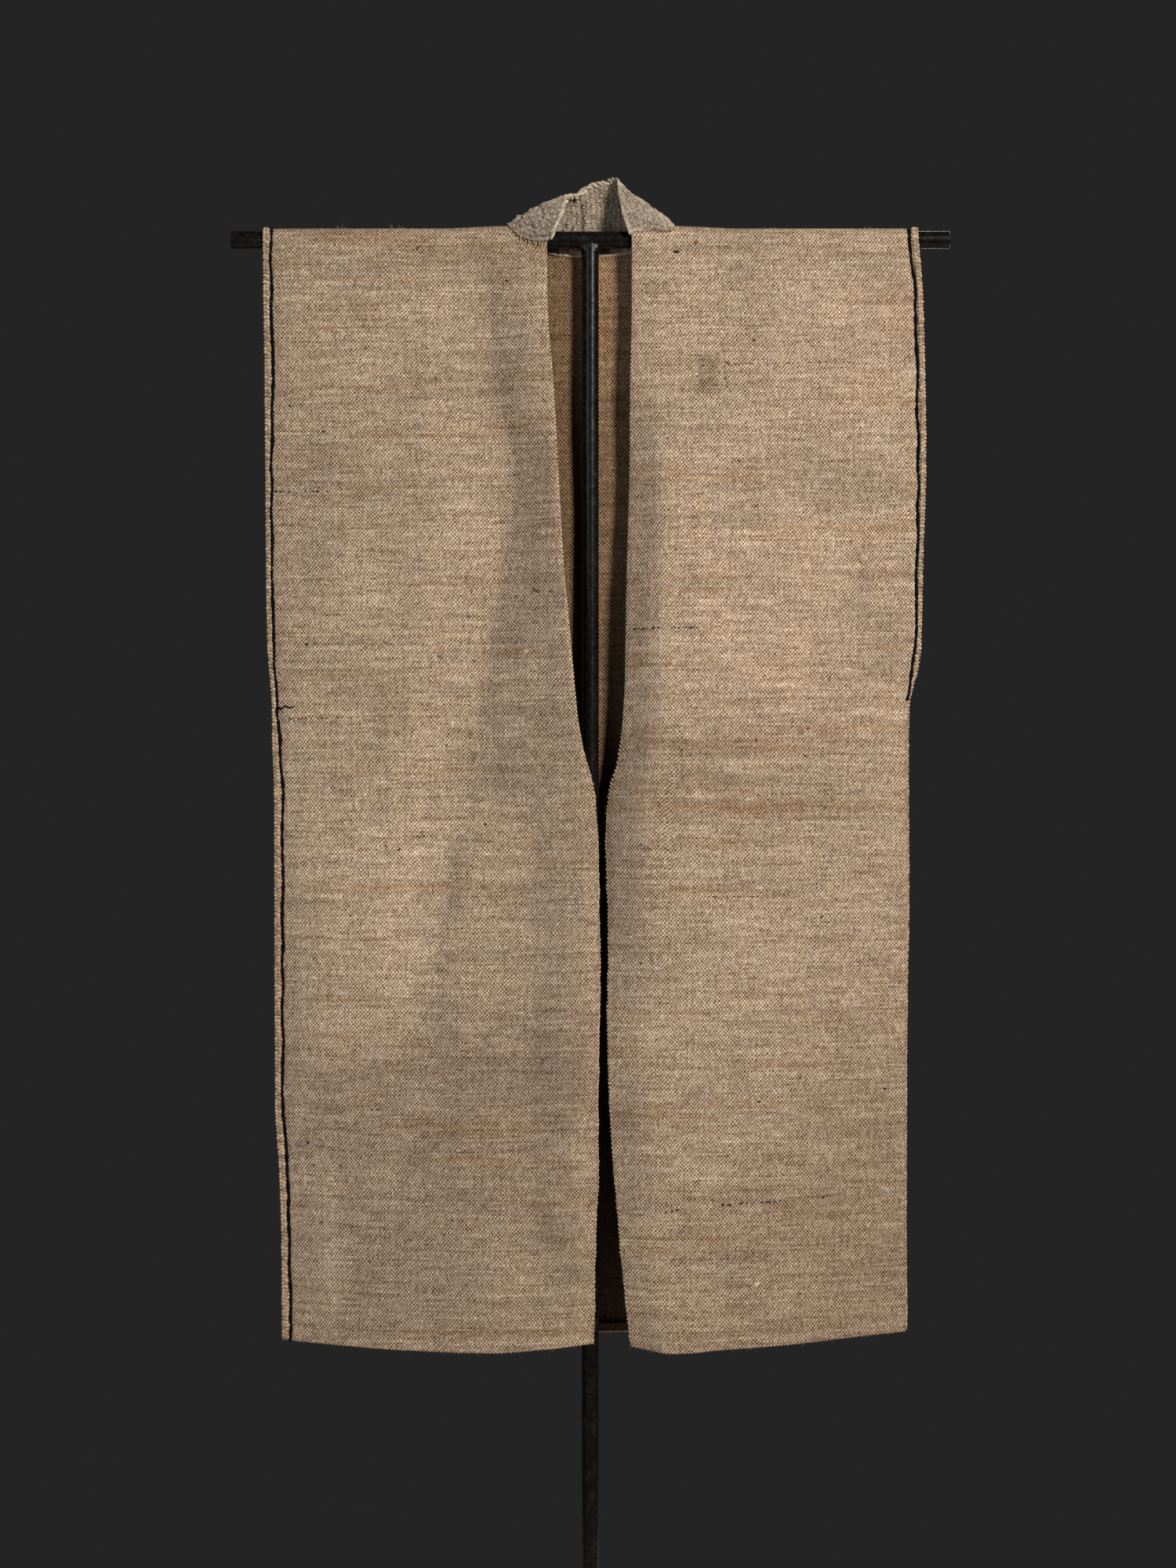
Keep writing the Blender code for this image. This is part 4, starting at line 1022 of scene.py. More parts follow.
        # Places, distances from each edge, and thickness where the cloth is folded double
        self.path, self.out, self.paths = path, out, paths
        self.drops = np.repeat(drop[:, None], columns, axis=1)
        self.points = np.stack((self.side * out, behind * swing, -drops), axis=2)
        steps = np.linalg.norm(np.diff(self.points, axis=1), axis=2)
        self.cut = np.concatenate((np.zeros((rows, 1)), np.cumsum(steps, axis=1)), axis=1)
        self.rows, self.columns = rows, columns
        self.fold = fold
        self.inner_in = np.full((rows, columns), FAR)
        self.inner_in[:, self.corner + 1:] = inner_in.T
        side_in = np.full((rows, columns), FAR)
        side_in[:, :self.flange_count] = edge_in.T
        hem_in = np.where(self.drops > last, path[-1] - path[:, None], FAR)
        neck_in = np.where(is_inner, paths - start, FAR)
        neck_in[0, self.corner] = 0.0
        self.edge_in = np.minimum.reduce((side_in, self.inner_in, hem_in, neck_in))
        self.hem_in = path[-1] - path[:, None] + np.zeros((rows, columns))
        doubled = smooth_share(fold[:, None] - self.inner_in, -FOLD_STEP, FOLD_STEP)
        doubled *= smooth_share(self.drops, 0.0, FOLD_START_BLEND)
        if self.facing < 0:
            doubled *= smooth_share(NECK_FOLD_END - self.drops, 0.0, FOLD_END_BLEND)
        doubled = np.maximum(doubled, self.hem_in <= HEM_TURN_UP + 0.01)
        self.thick = SINGLE_CLOTH + (DOUBLE_CLOTH - SINGLE_CLOTH) * doubled

    def flare(self):
        """Height that the flare table gives, smooth across and down the panel."""
        if self.name not in FLARES:
            return np.zeros(self.out.shape)
        rows = FLARES[self.name]
        knots = [row[0] for row in rows]
        drop = self.drops[:, 0]
        places = np.array([[place[0] for place in row[1:]] for row in rows])
        heights = np.array([[place[1] for place in row[1:]] for row in rows])
        count = places.shape[1]
        at = np.stack([soft_curve(knots, places[:, k], drop) for k in range(count)], axis=1)
        rise = np.stack([soft_curve(knots, heights[:, k], drop) for k in range(count)], axis=1)
        return np.array([soft_curve(-at[row], rise[row], -self.out[row]) for row in range(self.rows)])

    def relief(self):
        """How far the surface stands above its plain form."""
        # Folds, flare and soft puffs, calm over the crossbar and beside the sewn line
        height = np.zeros(self.out.shape)
        for rise, outer_width, inner_width, places in FOLDS[self.name]:
            gap, along = path_gap(self.out, self.drops, places)
            to_end = along if places[-1][1] >= LEVEL_HEM_DROP else np.minimum(along, 1.0 - along)
            ends = smooth_share(to_end, 0.0, FOLD_END_SHARE)
            width = np.where(gap > 0.0, outer_width, inner_width)
            height += rise * ends * np.exp(-(gap / width) ** 2)
        height += self.flare()
        hanging = smooth_share(self.drops, 0.0, HANG_START)
        puff = soft_noise(self.out, self.drops, PUFF_STEP, self.seed)
        puff += FINE_PUFF * soft_noise(self.out, self.drops, PUFF_STEP * FINE_PUFF, self.seed + 50)
        height = (height + PUFF * puff) * hanging
        from_seam = np.abs(self.out - self.out[:, self.flange_count][:, None])
        height *= smooth_share(from_seam, 0.0, SEAM_CALM)

        # Groove of the stitches, and the rounded edge outside it
        from_line = np.abs(self.cut - self.cut[:, self.flange_count][:, None])
        height -= STITCH_GROOVE * np.exp(-(from_line / STITCH_GROOVE_WIDTH) ** 2)
        in_flange = np.arange(self.columns)[None, :] < self.flange_count
        crown = smooth_share(self.edge_in, 0.0, FLANGE_CROWN_RUN)
        crown *= smooth_share(from_line, 0.0, FLANGE_CROWN_RUN)
        height += np.where(in_flange, FLANGE_CROWN * crown, 0.0)

        # Ripple of the hem, and the edge of the cloth turned under, which shows through
        drift, drift_step = HEM_RIPPLE_DRIFT
        wave = np.sin(self.out * 2.0 * math.pi / HEM_RIPPLE_STEP
                      + drift * soft_noise(self.out, self.drops, drift_step, self.seed + 4))
        near_hem = np.exp(-((self.hem_in - HEM_TURN_UP) / HEM_DIP_WIDTH) ** 2)
        height += HEM_DIP * (wave - 1.0) * near_hem
        print_through = np.exp(-((self.inner_in - self.fold[:, None]) / FOLD_PRINT_WIDTH) ** 2)
        height += np.where(self.drops < NECK_FOLD_END, FOLD_PRINT, 0.0) * print_through * hanging
        return height

    def wander(self):
        """Uneven run of the loose inner edge, in the plane of the cloth."""
        if self.facing > 0:
            return
        start = LOOSE_EDGE_START[self.side]
        loose = smooth_share(self.drops, start - LOOSE_SWAY_START, start)
        near = np.exp(-self.inner_in / LOOSE_SWAY_REACH)
        sway = sum(size * line_noise(self.drops, step, self.seed + seed)
                   for size, step, seed in LOOSE_SWAYS)
        self.points[:, :, 0] += self.side * sway * near * loose
        run = soft_curve(*zip(*EDGE_RUNS[self.name]), self.drops)
        self.points[:, :, 0] += self.side * run * np.exp(-(self.inner_in / EDGE_RUN_WIDTH) ** 2)

    def tint(self, tones_and_shading):
        """Factor on the cloth's colour at each point: uneven tone, and painted light and shade."""
        tint = np.ones(self.out.shape + (3,))
        for factor, half_width, half_height, out, drop in tones_and_shading.get(self.name, ()):
            gap = np.hypot((self.out - out) / half_width, (self.drops - drop) / half_height)
            noise = soft_noise(self.out, self.drops, TONE_RAGGED_STEP, self.seed + int(drop))
            weight = 1.0 - smooth_share(gap + TONE_RAGGED * noise, *TONE_SOFTNESS)
            tint *= 1.0 + (np.asarray(factor) - 1.0) * weight[:, :, None]
        return tint

    def row_at(self, path):
        """Row, with fractions, at a length down the panel."""
        return np.interp(path, self.path, np.arange(self.rows))

    def grid_at(self, out, path):
        """Row and column, with fractions, of places given as distance out and length down."""
        out, path = np.broadcast_arrays(np.asarray(out, float), np.asarray(path, float))
        row = self.row_at(path)
        for _ in range(2):
            low = np.minimum(row.astype(int), self.rows - 2)
            share = (row - low)[:, None]
            outs = self.out[low] * (1.0 - share) + self.out[low + 1] * share
            outs = outs[:, self.flange_count:]
            passed = np.clip((outs > out[:, None]).sum(axis=1) - 1, 0, outs.shape[1] - 2)
            item = np.arange(len(out))
            before, after = outs[item, passed], outs[item, passed + 1]
            along = np.clip((before - out) / np.maximum(before - after, 1e-6), 0.0, 1.0)
            column = passed + along + self.flange_count
            left = np.minimum(column.astype(int), self.columns - 2)
            part = (column - left)[:, None]
            paths = self.paths[:, left].T * (1.0 - part) + self.paths[:, left + 1].T * part
            passed = np.clip((paths < path[:, None]).sum(axis=1) - 1, 0, self.rows - 2)
            before, after = paths[item, passed], paths[item, passed + 1]
            row = passed + np.clip((path - before) / np.maximum(after - before, 1e-6), 0.0, 1.0)
        return row, column

    def read(self, row, column):
        """Point and normal of the finished outer surface at a row and column."""
        row = np.clip(row, 0.0, self.rows - 1.001)
        column = np.clip(column, 0.0, self.columns - 1.001)
        low, left = row.astype(int), column.astype(int)
        down, along = (row - low)[:, None], (column - left)[:, None]
        found = []
        for field in (self.points, self.normals):
            top = field[low, left] * (1.0 - along) + field[low, left + 1] * along
            bottom = field[low + 1, left] * (1.0 - along) + field[low + 1, left + 1] * along
            found.append(top * (1.0 - down) + bottom * down)
        return found[0], unit(found[1])

    def surface(self, out, path):
        """Points and normals at places given as distance out and length down."""
        return self.read(*self.grid_at(out, path))

    def spot(self, row, column):
        """Point and normal of the finished outer surface at one row and column."""
        places, normals = self.read(np.array([row], float), np.array([column], float))
        return places[0], normals[0]

    def place(self, out, path):
        """Point and normal of the finished outer surface at one distance out and length down."""
        places, normals = self.surface([out], [path])
        return places[0], normals[0]


def body_length(name, side, front_table, back_table):
    """One loom-width length with its wall, its turned edges and its soft folds."""
    front = Panel(name + "_front", side, -1, front_table)
    back = Panel(name + "_back", side, 1, back_table)

    # One grid: front and back share their points on the crossbar, from the side edge to the neck
    count = front.rows * front.columns
    index_front = np.arange(count).reshape(front.rows, front.columns)
    index_back = np.full((back.rows, back.columns), -1)
    index_back[0, :front.corner + 1] = index_front[0, :front.corner + 1]
    fresh = index_back < 0
    index_back[fresh] = count + np.arange(fresh.sum())
    panels = ((front, index_front), (back, index_back))
    size = index_back.max() + 1
    quads = []
    for panel, index in panels:
        quad = np.stack((index[:-1, :-1], index[1:, :-1], index[1:, 1:], index[:-1, 1:]), axis=2)
        quads.append(quad.reshape(-1, 4)[:, ::panel.side * panel.facing])
    faces = np.concatenate(quads)

    def gather(*fields):
        """Values of the front and the back, in the order of the shared points."""
        values = np.zeros((size,) + fields[0].shape[2:])
        values[index_back] = fields[1]
        values[index_front] = fields[0]
        return values

    # Sway of the loose edges, relief, then the normals of the finished surface
    for panel in (front, back):
        panel.wander()
    for raised in (True, False):
        normals = point_normals(gather(front.points, back.points), faces.tolist())
        for panel, index in panels:
            panel.normals = normals[index]
            if raised:
                panel.points = panel.points + panel.normals * panel.relief()[:, :, None]

    # Outer and inner face, which meet in a round along every edge
    points = gather(front.points, back.points)
    radius = gather(front.thick, back.thick) / 2.0
    edge_in = gather(front.edge_in, back.edge_in)
    inside = np.clip(1.0 - edge_in / (SINGLE_CLOTH / 2.0), 0.0, 1.0)
    half = radius * np.sqrt(1.0 - inside ** 2)
    outer = points - normals * (radius - half)[:, None]
    inner = points - normals * (radius + half)[:, None]
    open_wall = inside < 1.0 - 1e-9
    inner_number = np.arange(size)
    inner_number[open_wall] = size + np.arange(open_wall.sum())
    all_points = np.concatenate((outer, inner[open_wall]))
    all_faces = np.concatenate((faces, inner_number[faces][:, ::-1]))

    # Coordinates of the cut, and factors on the colour, with painted light and shade
    shift = RIGHT_SHIFT if side > 0 else 0.0
    cuts = []
    for panel in (front, back):
        beyond = np.maximum(panel.cut[:, panel.flange_count][:, None] - panel.cut, 0.0)
        down = -panel.facing * panel.paths + FLANGE_SLANT * beyond
        cuts.append(np.stack((panel.cut * MM + shift, down * MM), axis=2))
    cut = gather(*cuts)
    tint = gather(front.tint(TONES_AND_PAINTED_SHADING), back.tint(TONES_AND_PAINTED_SHADING))
    turned_over = smooth_share(edge_in[open_wall], SINGLE_CLOTH / 2.0, SINGLE_CLOTH)[:, None]
    # Painted shade, darker and warmer, on the side that faces inwards, deeper further down
    inner_painted_shading = 1.0 + (np.asarray(INSIDE_PAINTED_SHADE_COLOUR) - 1.0) * turned_over
    shade = np.interp(gather(front.drops, back.drops)[open_wall], *zip(*INSIDE_SHADE))[:, None]
    inner_painted_shading *= 1.0 + (shade - 1.0) * turned_over
    tone = gather(front.tint(INSIDE_PAINTED_SHADING), back.tint(INSIDE_PAINTED_SHADING))[open_wall]
    inner_painted_shading *= 1.0 + (tone - 1.0) * turned_over
    item = make_piece("cloth_" + name, all_points, all_faces.tolist(),
                      point_cuts=np.concatenate((cut, cut[open_wall])),
                      tints=np.concatenate((tint, tint[open_wall] * inner_painted_shading)))
    return item, front, back


# Sewing and loose threads on the lengths
def sew_seam(threads, panel, first, last):
    """Thick black back stitches along the sewn line."""
    random = threads.random
    path = first
    column = float(panel.flange_count)
    while path < last:
        length = BACK_STITCH * random.uniform(*SEAM_LENGTHS)
        rows = panel.row_at(np.array((path, min(path + length * STITCH_OVERLAP, last + 4.0))))
        shift = random.uniform(-SEAM_SHIFT, SEAM_SHIFT, 2)
        share = np.linspace(0.0, 1.0, SEAM_POINTS)
        rows = rows[0] + (rows[1] - rows[0]) * share
        places, normals = panel.read(rows, np.full(len(share), column))
        across = unit(np.cross(normals, np.gradient(places, axis=0)))
        drift = 1.6 * math.sin(path / SEAM_WAVE_RUNS[1])
        wave = SEAM_WAVE * np.sin((path + length * share) / SEAM_WAVE_RUNS[0] + drift)
        sway = shift[0] + (shift[1] - shift[0]) * share + wave
        rise = SEAM_RISE * np.clip(np.sin(share * math.pi), 0.0, 1.0) ** 0.4 + 0.2
        places = places + across * sway[:, None] + normals * rise[:, None]
        thick = BLACK_THREAD * random.uniform(*SEAM_SIZES)
        bulge = 1.0 + 0.14 * np.sin(share * 9.0 + random.uniform(0.0, 6.0))
        radii = thick * bulge * (0.62 + 0.38 * np.sin(share * math.pi) ** 0.5)
        threads.add(places, radii, threads.vary(SEWING_BLACK, 0.3), normals, sides=8, flat=0.6)
        if random.uniform() < SEAM_FIBRE_SHARE:
            middle = SEAM_POINTS // 2
            start = places[middle] + across[middle] * random.uniform(-0.6, 0.6)
            way = unit(across[middle] * random.uniform(-1.0, 1.0) + random.normal(size=3) * 0.4)
            tint = CREAM if random.uniform() < PALE_FIBRE_SHARE else SEWING_BLACK
            threads.fibre(start + normals[middle] * 0.9, way, *SEAM_FIBRE, tint, curl=1.0)
        path += length


def sew_hem(threads, panel):
    """Pale slanted stitches that hold the turned-up hem."""
    random = threads.random
    outs = panel.out[-1, panel.flange_count:]
    out = outs.max() - HEM_MARGINS[0]
    level = SHOULDER_QUARTER + LEVEL_HEM_DROP - HEM_STITCH_ABOVE
    while out > outs.min() + HEM_MARGINS[1]:
        length = random.uniform(*HEM_STITCH_LENGTHS)
        slant = random.uniform(*HEM_STITCH_SLANTS)
        rise = random.uniform(-0.6, 0.6)
        ends = np.array((out, out - length))
        if panel.side * panel.facing > 0:
            ends = ends[::-1]
        rows = panel.row_at(level + rise + np.array((-0.5, 0.5)) * length * slant)
        columns = np.interp(-ends, -outs, np.arange(len(outs))) + panel.flange_count
        (start, normal), (end, _) = (panel.spot(row, column) for row, column in zip(rows, columns))
        tint = threads.vary(HEM_CREAM, 0.3)
        if random.uniform() < HEM_STITCH_SHARE:
            threads.stitch(start, end, normal, HEM_THREAD, tint, lift=0.5, sink=0.3)
        out -= HEM_STITCH_STEP * random.uniform(*HEM_STEPS)


def edge_loops(threads, panel, first, last):
    """Loops of weft that turn back round the selvedge at the opening."""
    random = threads.random
    path = first
    column = panel.columns - 1.0
    while path < last:
        row = panel.row_at(path + random.uniform(-0.4, 0.4))
        places, normals = panel.read(np.array((row, row, row + 0.3)),
                                     column - np.array((0.0, 3.0, 0.0)))
        outward = unit(places[0] - places[1])
        along = unit(places[2] - places[0])
        normal = unit(normals[1])
        middle = places[0] - normal * LOOP_THREAD * 0.8 - outward * LOOP_INSET
        grow = LOOP_REACH * random.uniform(*LOOP_REACHES)
        share = np.linspace(-1.0, 1.0, 6)
        out = grow * (1.0 - share ** 2) - LOOP_TUCK * share ** 2
        loop = (middle + along * (share * LOOP_HALF_WIDTH)[:, None] + outward * out[:, None]
                + normal * (0.5 * share)[:, None])
        tint = threads.vary(EDGE_CREAM, 0.3)
        threads.add(loop, LOOP_THREAD * random.uniform(*LOOP_SIZES), tint, normal, sides=6)
        path += LOOP_STEP * random.uniform(*LOOP_STEPS)


def braided_edge(threads, panel, first, last):
    """Two columns of slanted weft bumps on the rounded selvedge outside the sewn line."""
    random = threads.random
    wide = panel.flange_count
    lines = ((BRAID_INSETS[0], wide * BRAID_SHARES[0]), (wide * BRAID_SHARES[1], wide - BRAID_INSETS[1]))
    for number, (low, high) in enumerate(lines):
        path = first + 0.5 * BRAID_STEP * number
        slant = BRAID_SLANT if number else -BRAID_SLANT
        while path < last:
            share = np.linspace(0.0, 1.0, 4)
            paths = path + slant * random.uniform(*BRAID_SLANTS) * (share - 0.5)
            paths += random.uniform(-0.4, 0.4)
            places, normals = panel.read(panel.row_at(paths), low + (high - low) * share)
            if not number:
                places[0] -= normals[0] * 0.9
            rise = np.array(BRAID_RISE) + random.uniform(-0.2, 0.2)
            radii = BRAID_THREAD * random.uniform(*BRAID_SIZES) * np.array(BRAID_SWELL)
            threads.add(places + normals * rise[:, None], radii, threads.vary(EDGE_CREAM, 0.4),
                        normals, sides=6, flat=0.75)
            path += BRAID_STEP * random.uniform(*BRAID_STEPS)


def coloured_pick(threads, panel, colour, shown, thick, start, end):
    """A coloured weft thread that shows in uneven runs between the warp threads."""
    random = threads.random
    reach = abs(start[0] - end[0])
    strength = random.uniform(size=int(reach / PICK_RUN) + 2)
    at = 0.0
    while at < reach:
        run = WARP_PITCH * random.choice(PICK_LENGTHS)
        share = np.clip((at + run * np.linspace(0.04, 0.96, 5)) / reach, 0.0, 1.0)
        outs = start[0] + (end[0] - start[0]) * share
        drops = start[1] + (end[1] - start[1]) * share
        drops = drops + PICK_SWAY * soft_noise(outs, drops, PICK_SWAY_STEP, panel.seed + int(start[1]))
        if 0.5 * strength[int(at / PICK_RUN)] + 0.5 * random.uniform() < shown:
            places, normals = panel.surface(outs, drops + SHOULDER_QUARTER)
            body = places + normals * np.array(PICK_RISE)[:, None]
            size = thick * random.uniform(*PICK_SIZES) * np.array(PICK_SWELL)
            threads.add(body, size, threads.vary(colour, 0.25), normals[2], sides=5, flat=0.6)
        at += run + WARP_PITCH * random.choice(PICK_GAPS)


def fleck(threads, panel, colour, length, thick, out, drop):
    """A short slub or speck that lies in the weave."""
    random = threads.random
    for number in range(FLECK_STRANDS):
        lean = random.uniform(-0.2, 0.2) if number == 0 else random.uniform(-1.4, 1.4)
        share = np.linspace(-0.5, 0.5, 5) * length * random.uniform(*FLECK_LENGTHS)
        outs = out + share / math.hypot(1.0, lean) + number * random.uniform(-1.0, 1.0)
        drops = drop + share * lean / math.hypot(1.0, lean) + number * random.uniform(-0.5, 0.5)
        places, normals = panel.surface(outs, np.maximum(drops + SHOULDER_QUARTER, 1.0))
        rise = np.array(FLECK_RISE) + 0.08 * number
        size = thick * random.uniform(*FLECK_SIZES) * np.array(FLECK_SWELL)
        threads.add(places + normals * rise[:, None], size, threads.vary(colour, 0.2), normals[2],
                    sides=5, flat=0.5)


def dress_panel(threads, panel):
    """All threads, slubs and loops of one panel."""
    random = threads.random
    bottom = SHOULDER_QUARTER + LEVEL_HEM_DROP
    seen = panel.facing > 0 or panel.side < 0
    seam_end = bottom - SEAM_END if seen else HIDDEN_SEAM_DROP + SHOULDER_QUARTER
    sew_seam(threads, panel, SEAM_END, seam_end)
    sew_hem(threads, panel)
    braided_edge(threads, panel, EDGE_MARGIN, bottom - EDGE_MARGIN)
    if panel.facing < 0:
        edge_loops(threads, panel, SHOULDER_QUARTER + LOOSE_EDGE_START[panel.side], bottom - EDGE_MARGIN)
    for row in COLOURED_PICKS[panel.name]:
        coloured_pick(threads, panel, *row)
    for row in FLECKS[panel.name]:
        fleck(threads, panel, *row)
    for number in range(RANDOM_FLECKS):
        tint = FLECK_TINTS[number % len(FLECK_TINTS)]
        lengths, sizes = STRONG_FLECKS if tint in STRONG_TINTS else PALE_FLECKS
        fleck(threads, panel, tint, random.uniform(*lengths), random.uniform(*sizes),
              random.uniform(*FLECK_OUTS), random.uniform(*FLECK_DROPS))
    loose_fibres(threads, panel)


def loose_fibres(threads, panel):
    """Fibres that stand out from the hem and, on a front, from its loose edge."""
    random = threads.random
    number, lengths, thick = HEM_FIBRES
    for _ in range(number):
        column = random.uniform(panel.flange_count, panel.columns - 2)
        place, normal = panel.spot(panel.rows - 1.01, column)
        way = unit(np.array((random.uniform(-0.9, 0.9), random.uniform(-0.5, 0.5), -1.0)))
        threads.fibre(place - normal, way, random.uniform(*lengths), thick, EDGE_CREAM, FIBRE_CURL)
    if panel.facing > 0:
        return
    number, lengths, thick = EDGE_FIBRES
    for _ in range(number):
        row = random.uniform(EDGE_FIBRE_ROW, panel.rows - 4.0)
        place, normal = panel.spot(row, panel.columns - 1.01)
        way = unit(np.array((-panel.side, random.uniform(-0.6, 0.2), random.uniform(-0.8, 0.8))))
        threads.fibre(place - normal, way, random.uniform(*lengths), thick, EDGE_CREAM, FIBRE_CURL)


def tack(threads, panel, out, drop, tail):
    """A dark bar tack beside the end of the armhole, with its loose tail."""
    outs, drops = np.asarray(tail, float).T
    places, normals = panel.surface(out - outs, drop + drops + SHOULDER_QUARTER)
    share = np.linspace(0.0, 1.0, len(places))
    radii = TACK_SWELL * (1.0 - share) ** 2 + TAIL_THREAD
    threads.add(places + normals * 0.5, radii, SEWING_BLACK, normals, sides=7)


def dress_shoulder(threads, front, outs, length):
    """Loose fibres that stand up along the top of the shoulder."""
    random = threads.random
    for out in outs:
        for _ in range(SHOULDER_TUFT):
            path = random.uniform(0.0, 4.0)
            place, _ = front.place(out + random.uniform(-5.0, 5.0), path)
            way = unit(np.array((random.uniform(-1.0, 1.0), -0.4, 1.0)))
            size = random.uniform(*SHOULDER_LENGTHS) * length
            threads.fibre(place, way, size, radius=0.14, tint=CREAM, curl=1.5)


def sew_length(name, panels):
    """Everything sewn on one length, and its loose threads, as one piece."""
    sewing = Threads(SEWING_SEEDS[name])
    for panel in panels:
        dress_panel(sewing, panel)
    tack(sewing, panels[0], *TACKS[name])
    dress_shoulder(sewing, panels[0], *SHOULDER_FIBRES[name])
    return sewing.build("threads_" + name)


# Neckband
class Neckband:
    """The quilted band round the back of the neck, as a strip from its sewn to its free edge."""

    def __init__(self, panels):
        # Sewn edge, free edge, and the way that the band bulges between them
        turns = np.linspace(-2.0, 2.0, COLLAR_STEPS + 1)
        sewn = np.array([self.sewn_point(panels, turn) for turn in turns])
        table = np.asarray(COLLAR_EDGE)
        *free, swell = [soft_curve(table[:, 0], table[:, column], turns) for column in (1, 2, 3, 4)]
        free = np.stack(free, axis=1)
        away = unit(np.cross(free - sewn, np.gradient(sewn, axis=0)))
        kernel = np.hanning(COLLAR_SMOOTHING)
        kernel /= kernel.sum()
        pad = COLLAR_SMOOTHING // 2
        padded = np.pad(away, ((pad, pad), (0, 0)), mode="edge")
        away = unit(np.stack([np.convolve(padded[:, k], kernel, mode="valid") for k in range(3)], axis=1))

        # Plain inner face, with lengths down it and along the band
        share = np.linspace(0.0, 1.0, COLLAR_LEVELS + 1)
        lean = np.interp(turns, *zip(*COLLAR_SWELL_LEAN))
        bulge = swell[:, None] * np.sin(math.pi * share[None, :] ** lean[:, None])
        self.inside = (sewn[:, None, :] + (free - sewn)[:, None, :] * share[None, :, None]
                       + away[:, None, :] * bulge[:, :, None])
        self.turns = turns
        down = np.linalg.norm(np.diff(self.inside, axis=1), axis=2)
        self.down = np.concatenate((np.zeros((len(turns), 1)), np.cumsum(down, axis=1)), axis=1)
        middle = self.inside[:, COLLAR_LEVELS // 2]
        self.along = run_lengths(middle)
        faces = grid_faces(np.arange(self.inside[:, :, 0].size).reshape(self.inside.shape[:2]))
        normals = point_normals(self.inside.reshape(-1, 3), faces).reshape(self.inside.shape)
        self.normals = normals

        # Both faces with padding and creases. At the back the inner one comes in over the sewn edge.
        creases = self.creases() * np.interp(np.abs(turns), CREASE_FADE, (1.0, 0.0))[:, None]
        thinning = COLLAR_THINNING * (1.0 - smooth_share(self.down, 0.0, COLLAR_THIN_RUN))
        wall = COLLAR_WALL - COLLAR_INSET - thinning
        raised = wall + self.puffs(PUFF_SEEDS["outer"]) + creases
        self.outside = self.inside + normals * raised[:, :, None]
        wrap = NECK_WRAP * np.exp(-(self.down / NECK_WRAP_HEIGHT) ** 2)
        wrap *= np.interp(np.abs(turns), WRAP_FADE, (1.0, 0.0))[:, None]
        inward = COLLAR_INSET - self.puffs(PUFF_SEEDS["inner"]) + creases - wrap
        self.inside = self.inside + normals * inward[:, :, None]
        # Painted shade in the creases of the inner face
        self.shade = {True: np.ones(self.down.shape), False: np.ones(self.down.shape)}
        self.shade[False] -= CREASE_SHADE * np.clip(creases, 0.0, 2.0)
        self.stitches = [self.quilt(*row) for row in QUILTING]

    def sewn_point(self, panels, turn, beyond=0.0):
        """A place on the sewn edge, or a length beyond it on the cloth."""
        side = -1 if turn < 0 else 1
        is_back = abs(turn) < 1.0
        panel = panels[side][1 if is_back else 0]
        inner = 0.0 if is_back else panel.table[0, 4]
        share = 1.0 - math.cos(abs(abs(turn) - 1.0) * math.pi / 2.0)
        out = COLLAR_REACH - (COLLAR_REACH - inner) * share
        deepest = NECK_PATH[panel.name] + COLLAR_OVERLAP
        deepest *= 1.0 + COLLAR_CORNER[panel.name] * (1.0 - share)
        path = (deepest + beyond) * (1.0 - (1.0 - share) ** NECK_FALL) ** COLLAR_ROUND[panel.name]
        place, normal = panel.place(out, path)
        return place + normal * SEAM_GAP

    def puffs(self, seed):
        """Height of the soft padding."""
        along = np.broadcast_to(self.along[:, None], self.down.shape)
        broad, fine = QUILT_PUFF_STEPS
        height = soft_noise(along, self.down, broad, seed)
        height += 0.6 * soft_noise(along, self.down, fine, seed + 1)
        return QUILT_PUFF * height * smooth_share(self.down, 0.0, 5.0)

    def creases(self):
        """Depth of the creases, which push the band away from the viewer."""
        depth = np.zeros(self.down.shape)
        for deep, width, places in COLLAR_CREASES:
            gap, along = path_gap(self.inside[:, :, 0], self.inside[:, :, 2], places)
            ends = smooth_share(np.minimum(along, 1.0 - along), 0.0, 0.3)
            depth += deep * ends * np.exp(-(gap / width) ** 2)
        return depth

    def quilt(self, outer, first, last, looks, slant, step, row, length, thick):
        """Stitches of one face in slanted rows. The cloth is pulled in along them."""
        # Points of this face that may carry stitches
        field = self.outside if outer else self.inside
        away = self.normals if outer else -self.normals
        within = (self.turns >= first) & (self.turns <= last)
        free = self.down[:, -1][:, None] - self.down
        usable = within[:, None] & (self.down > QUILT_MARGIN) & (free > QUILT_MARGIN)
        usable &= away[:, :, 1] * looks > 0.25
        places, normals = field[usable], away[usable]
        angle = math.radians(slant)
        along = places[:, 0] * math.cos(angle) + places[:, 2] * math.sin(angle)
        across = places[:, 2] * math.cos(angle) - places[:, 0] * math.sin(angle)

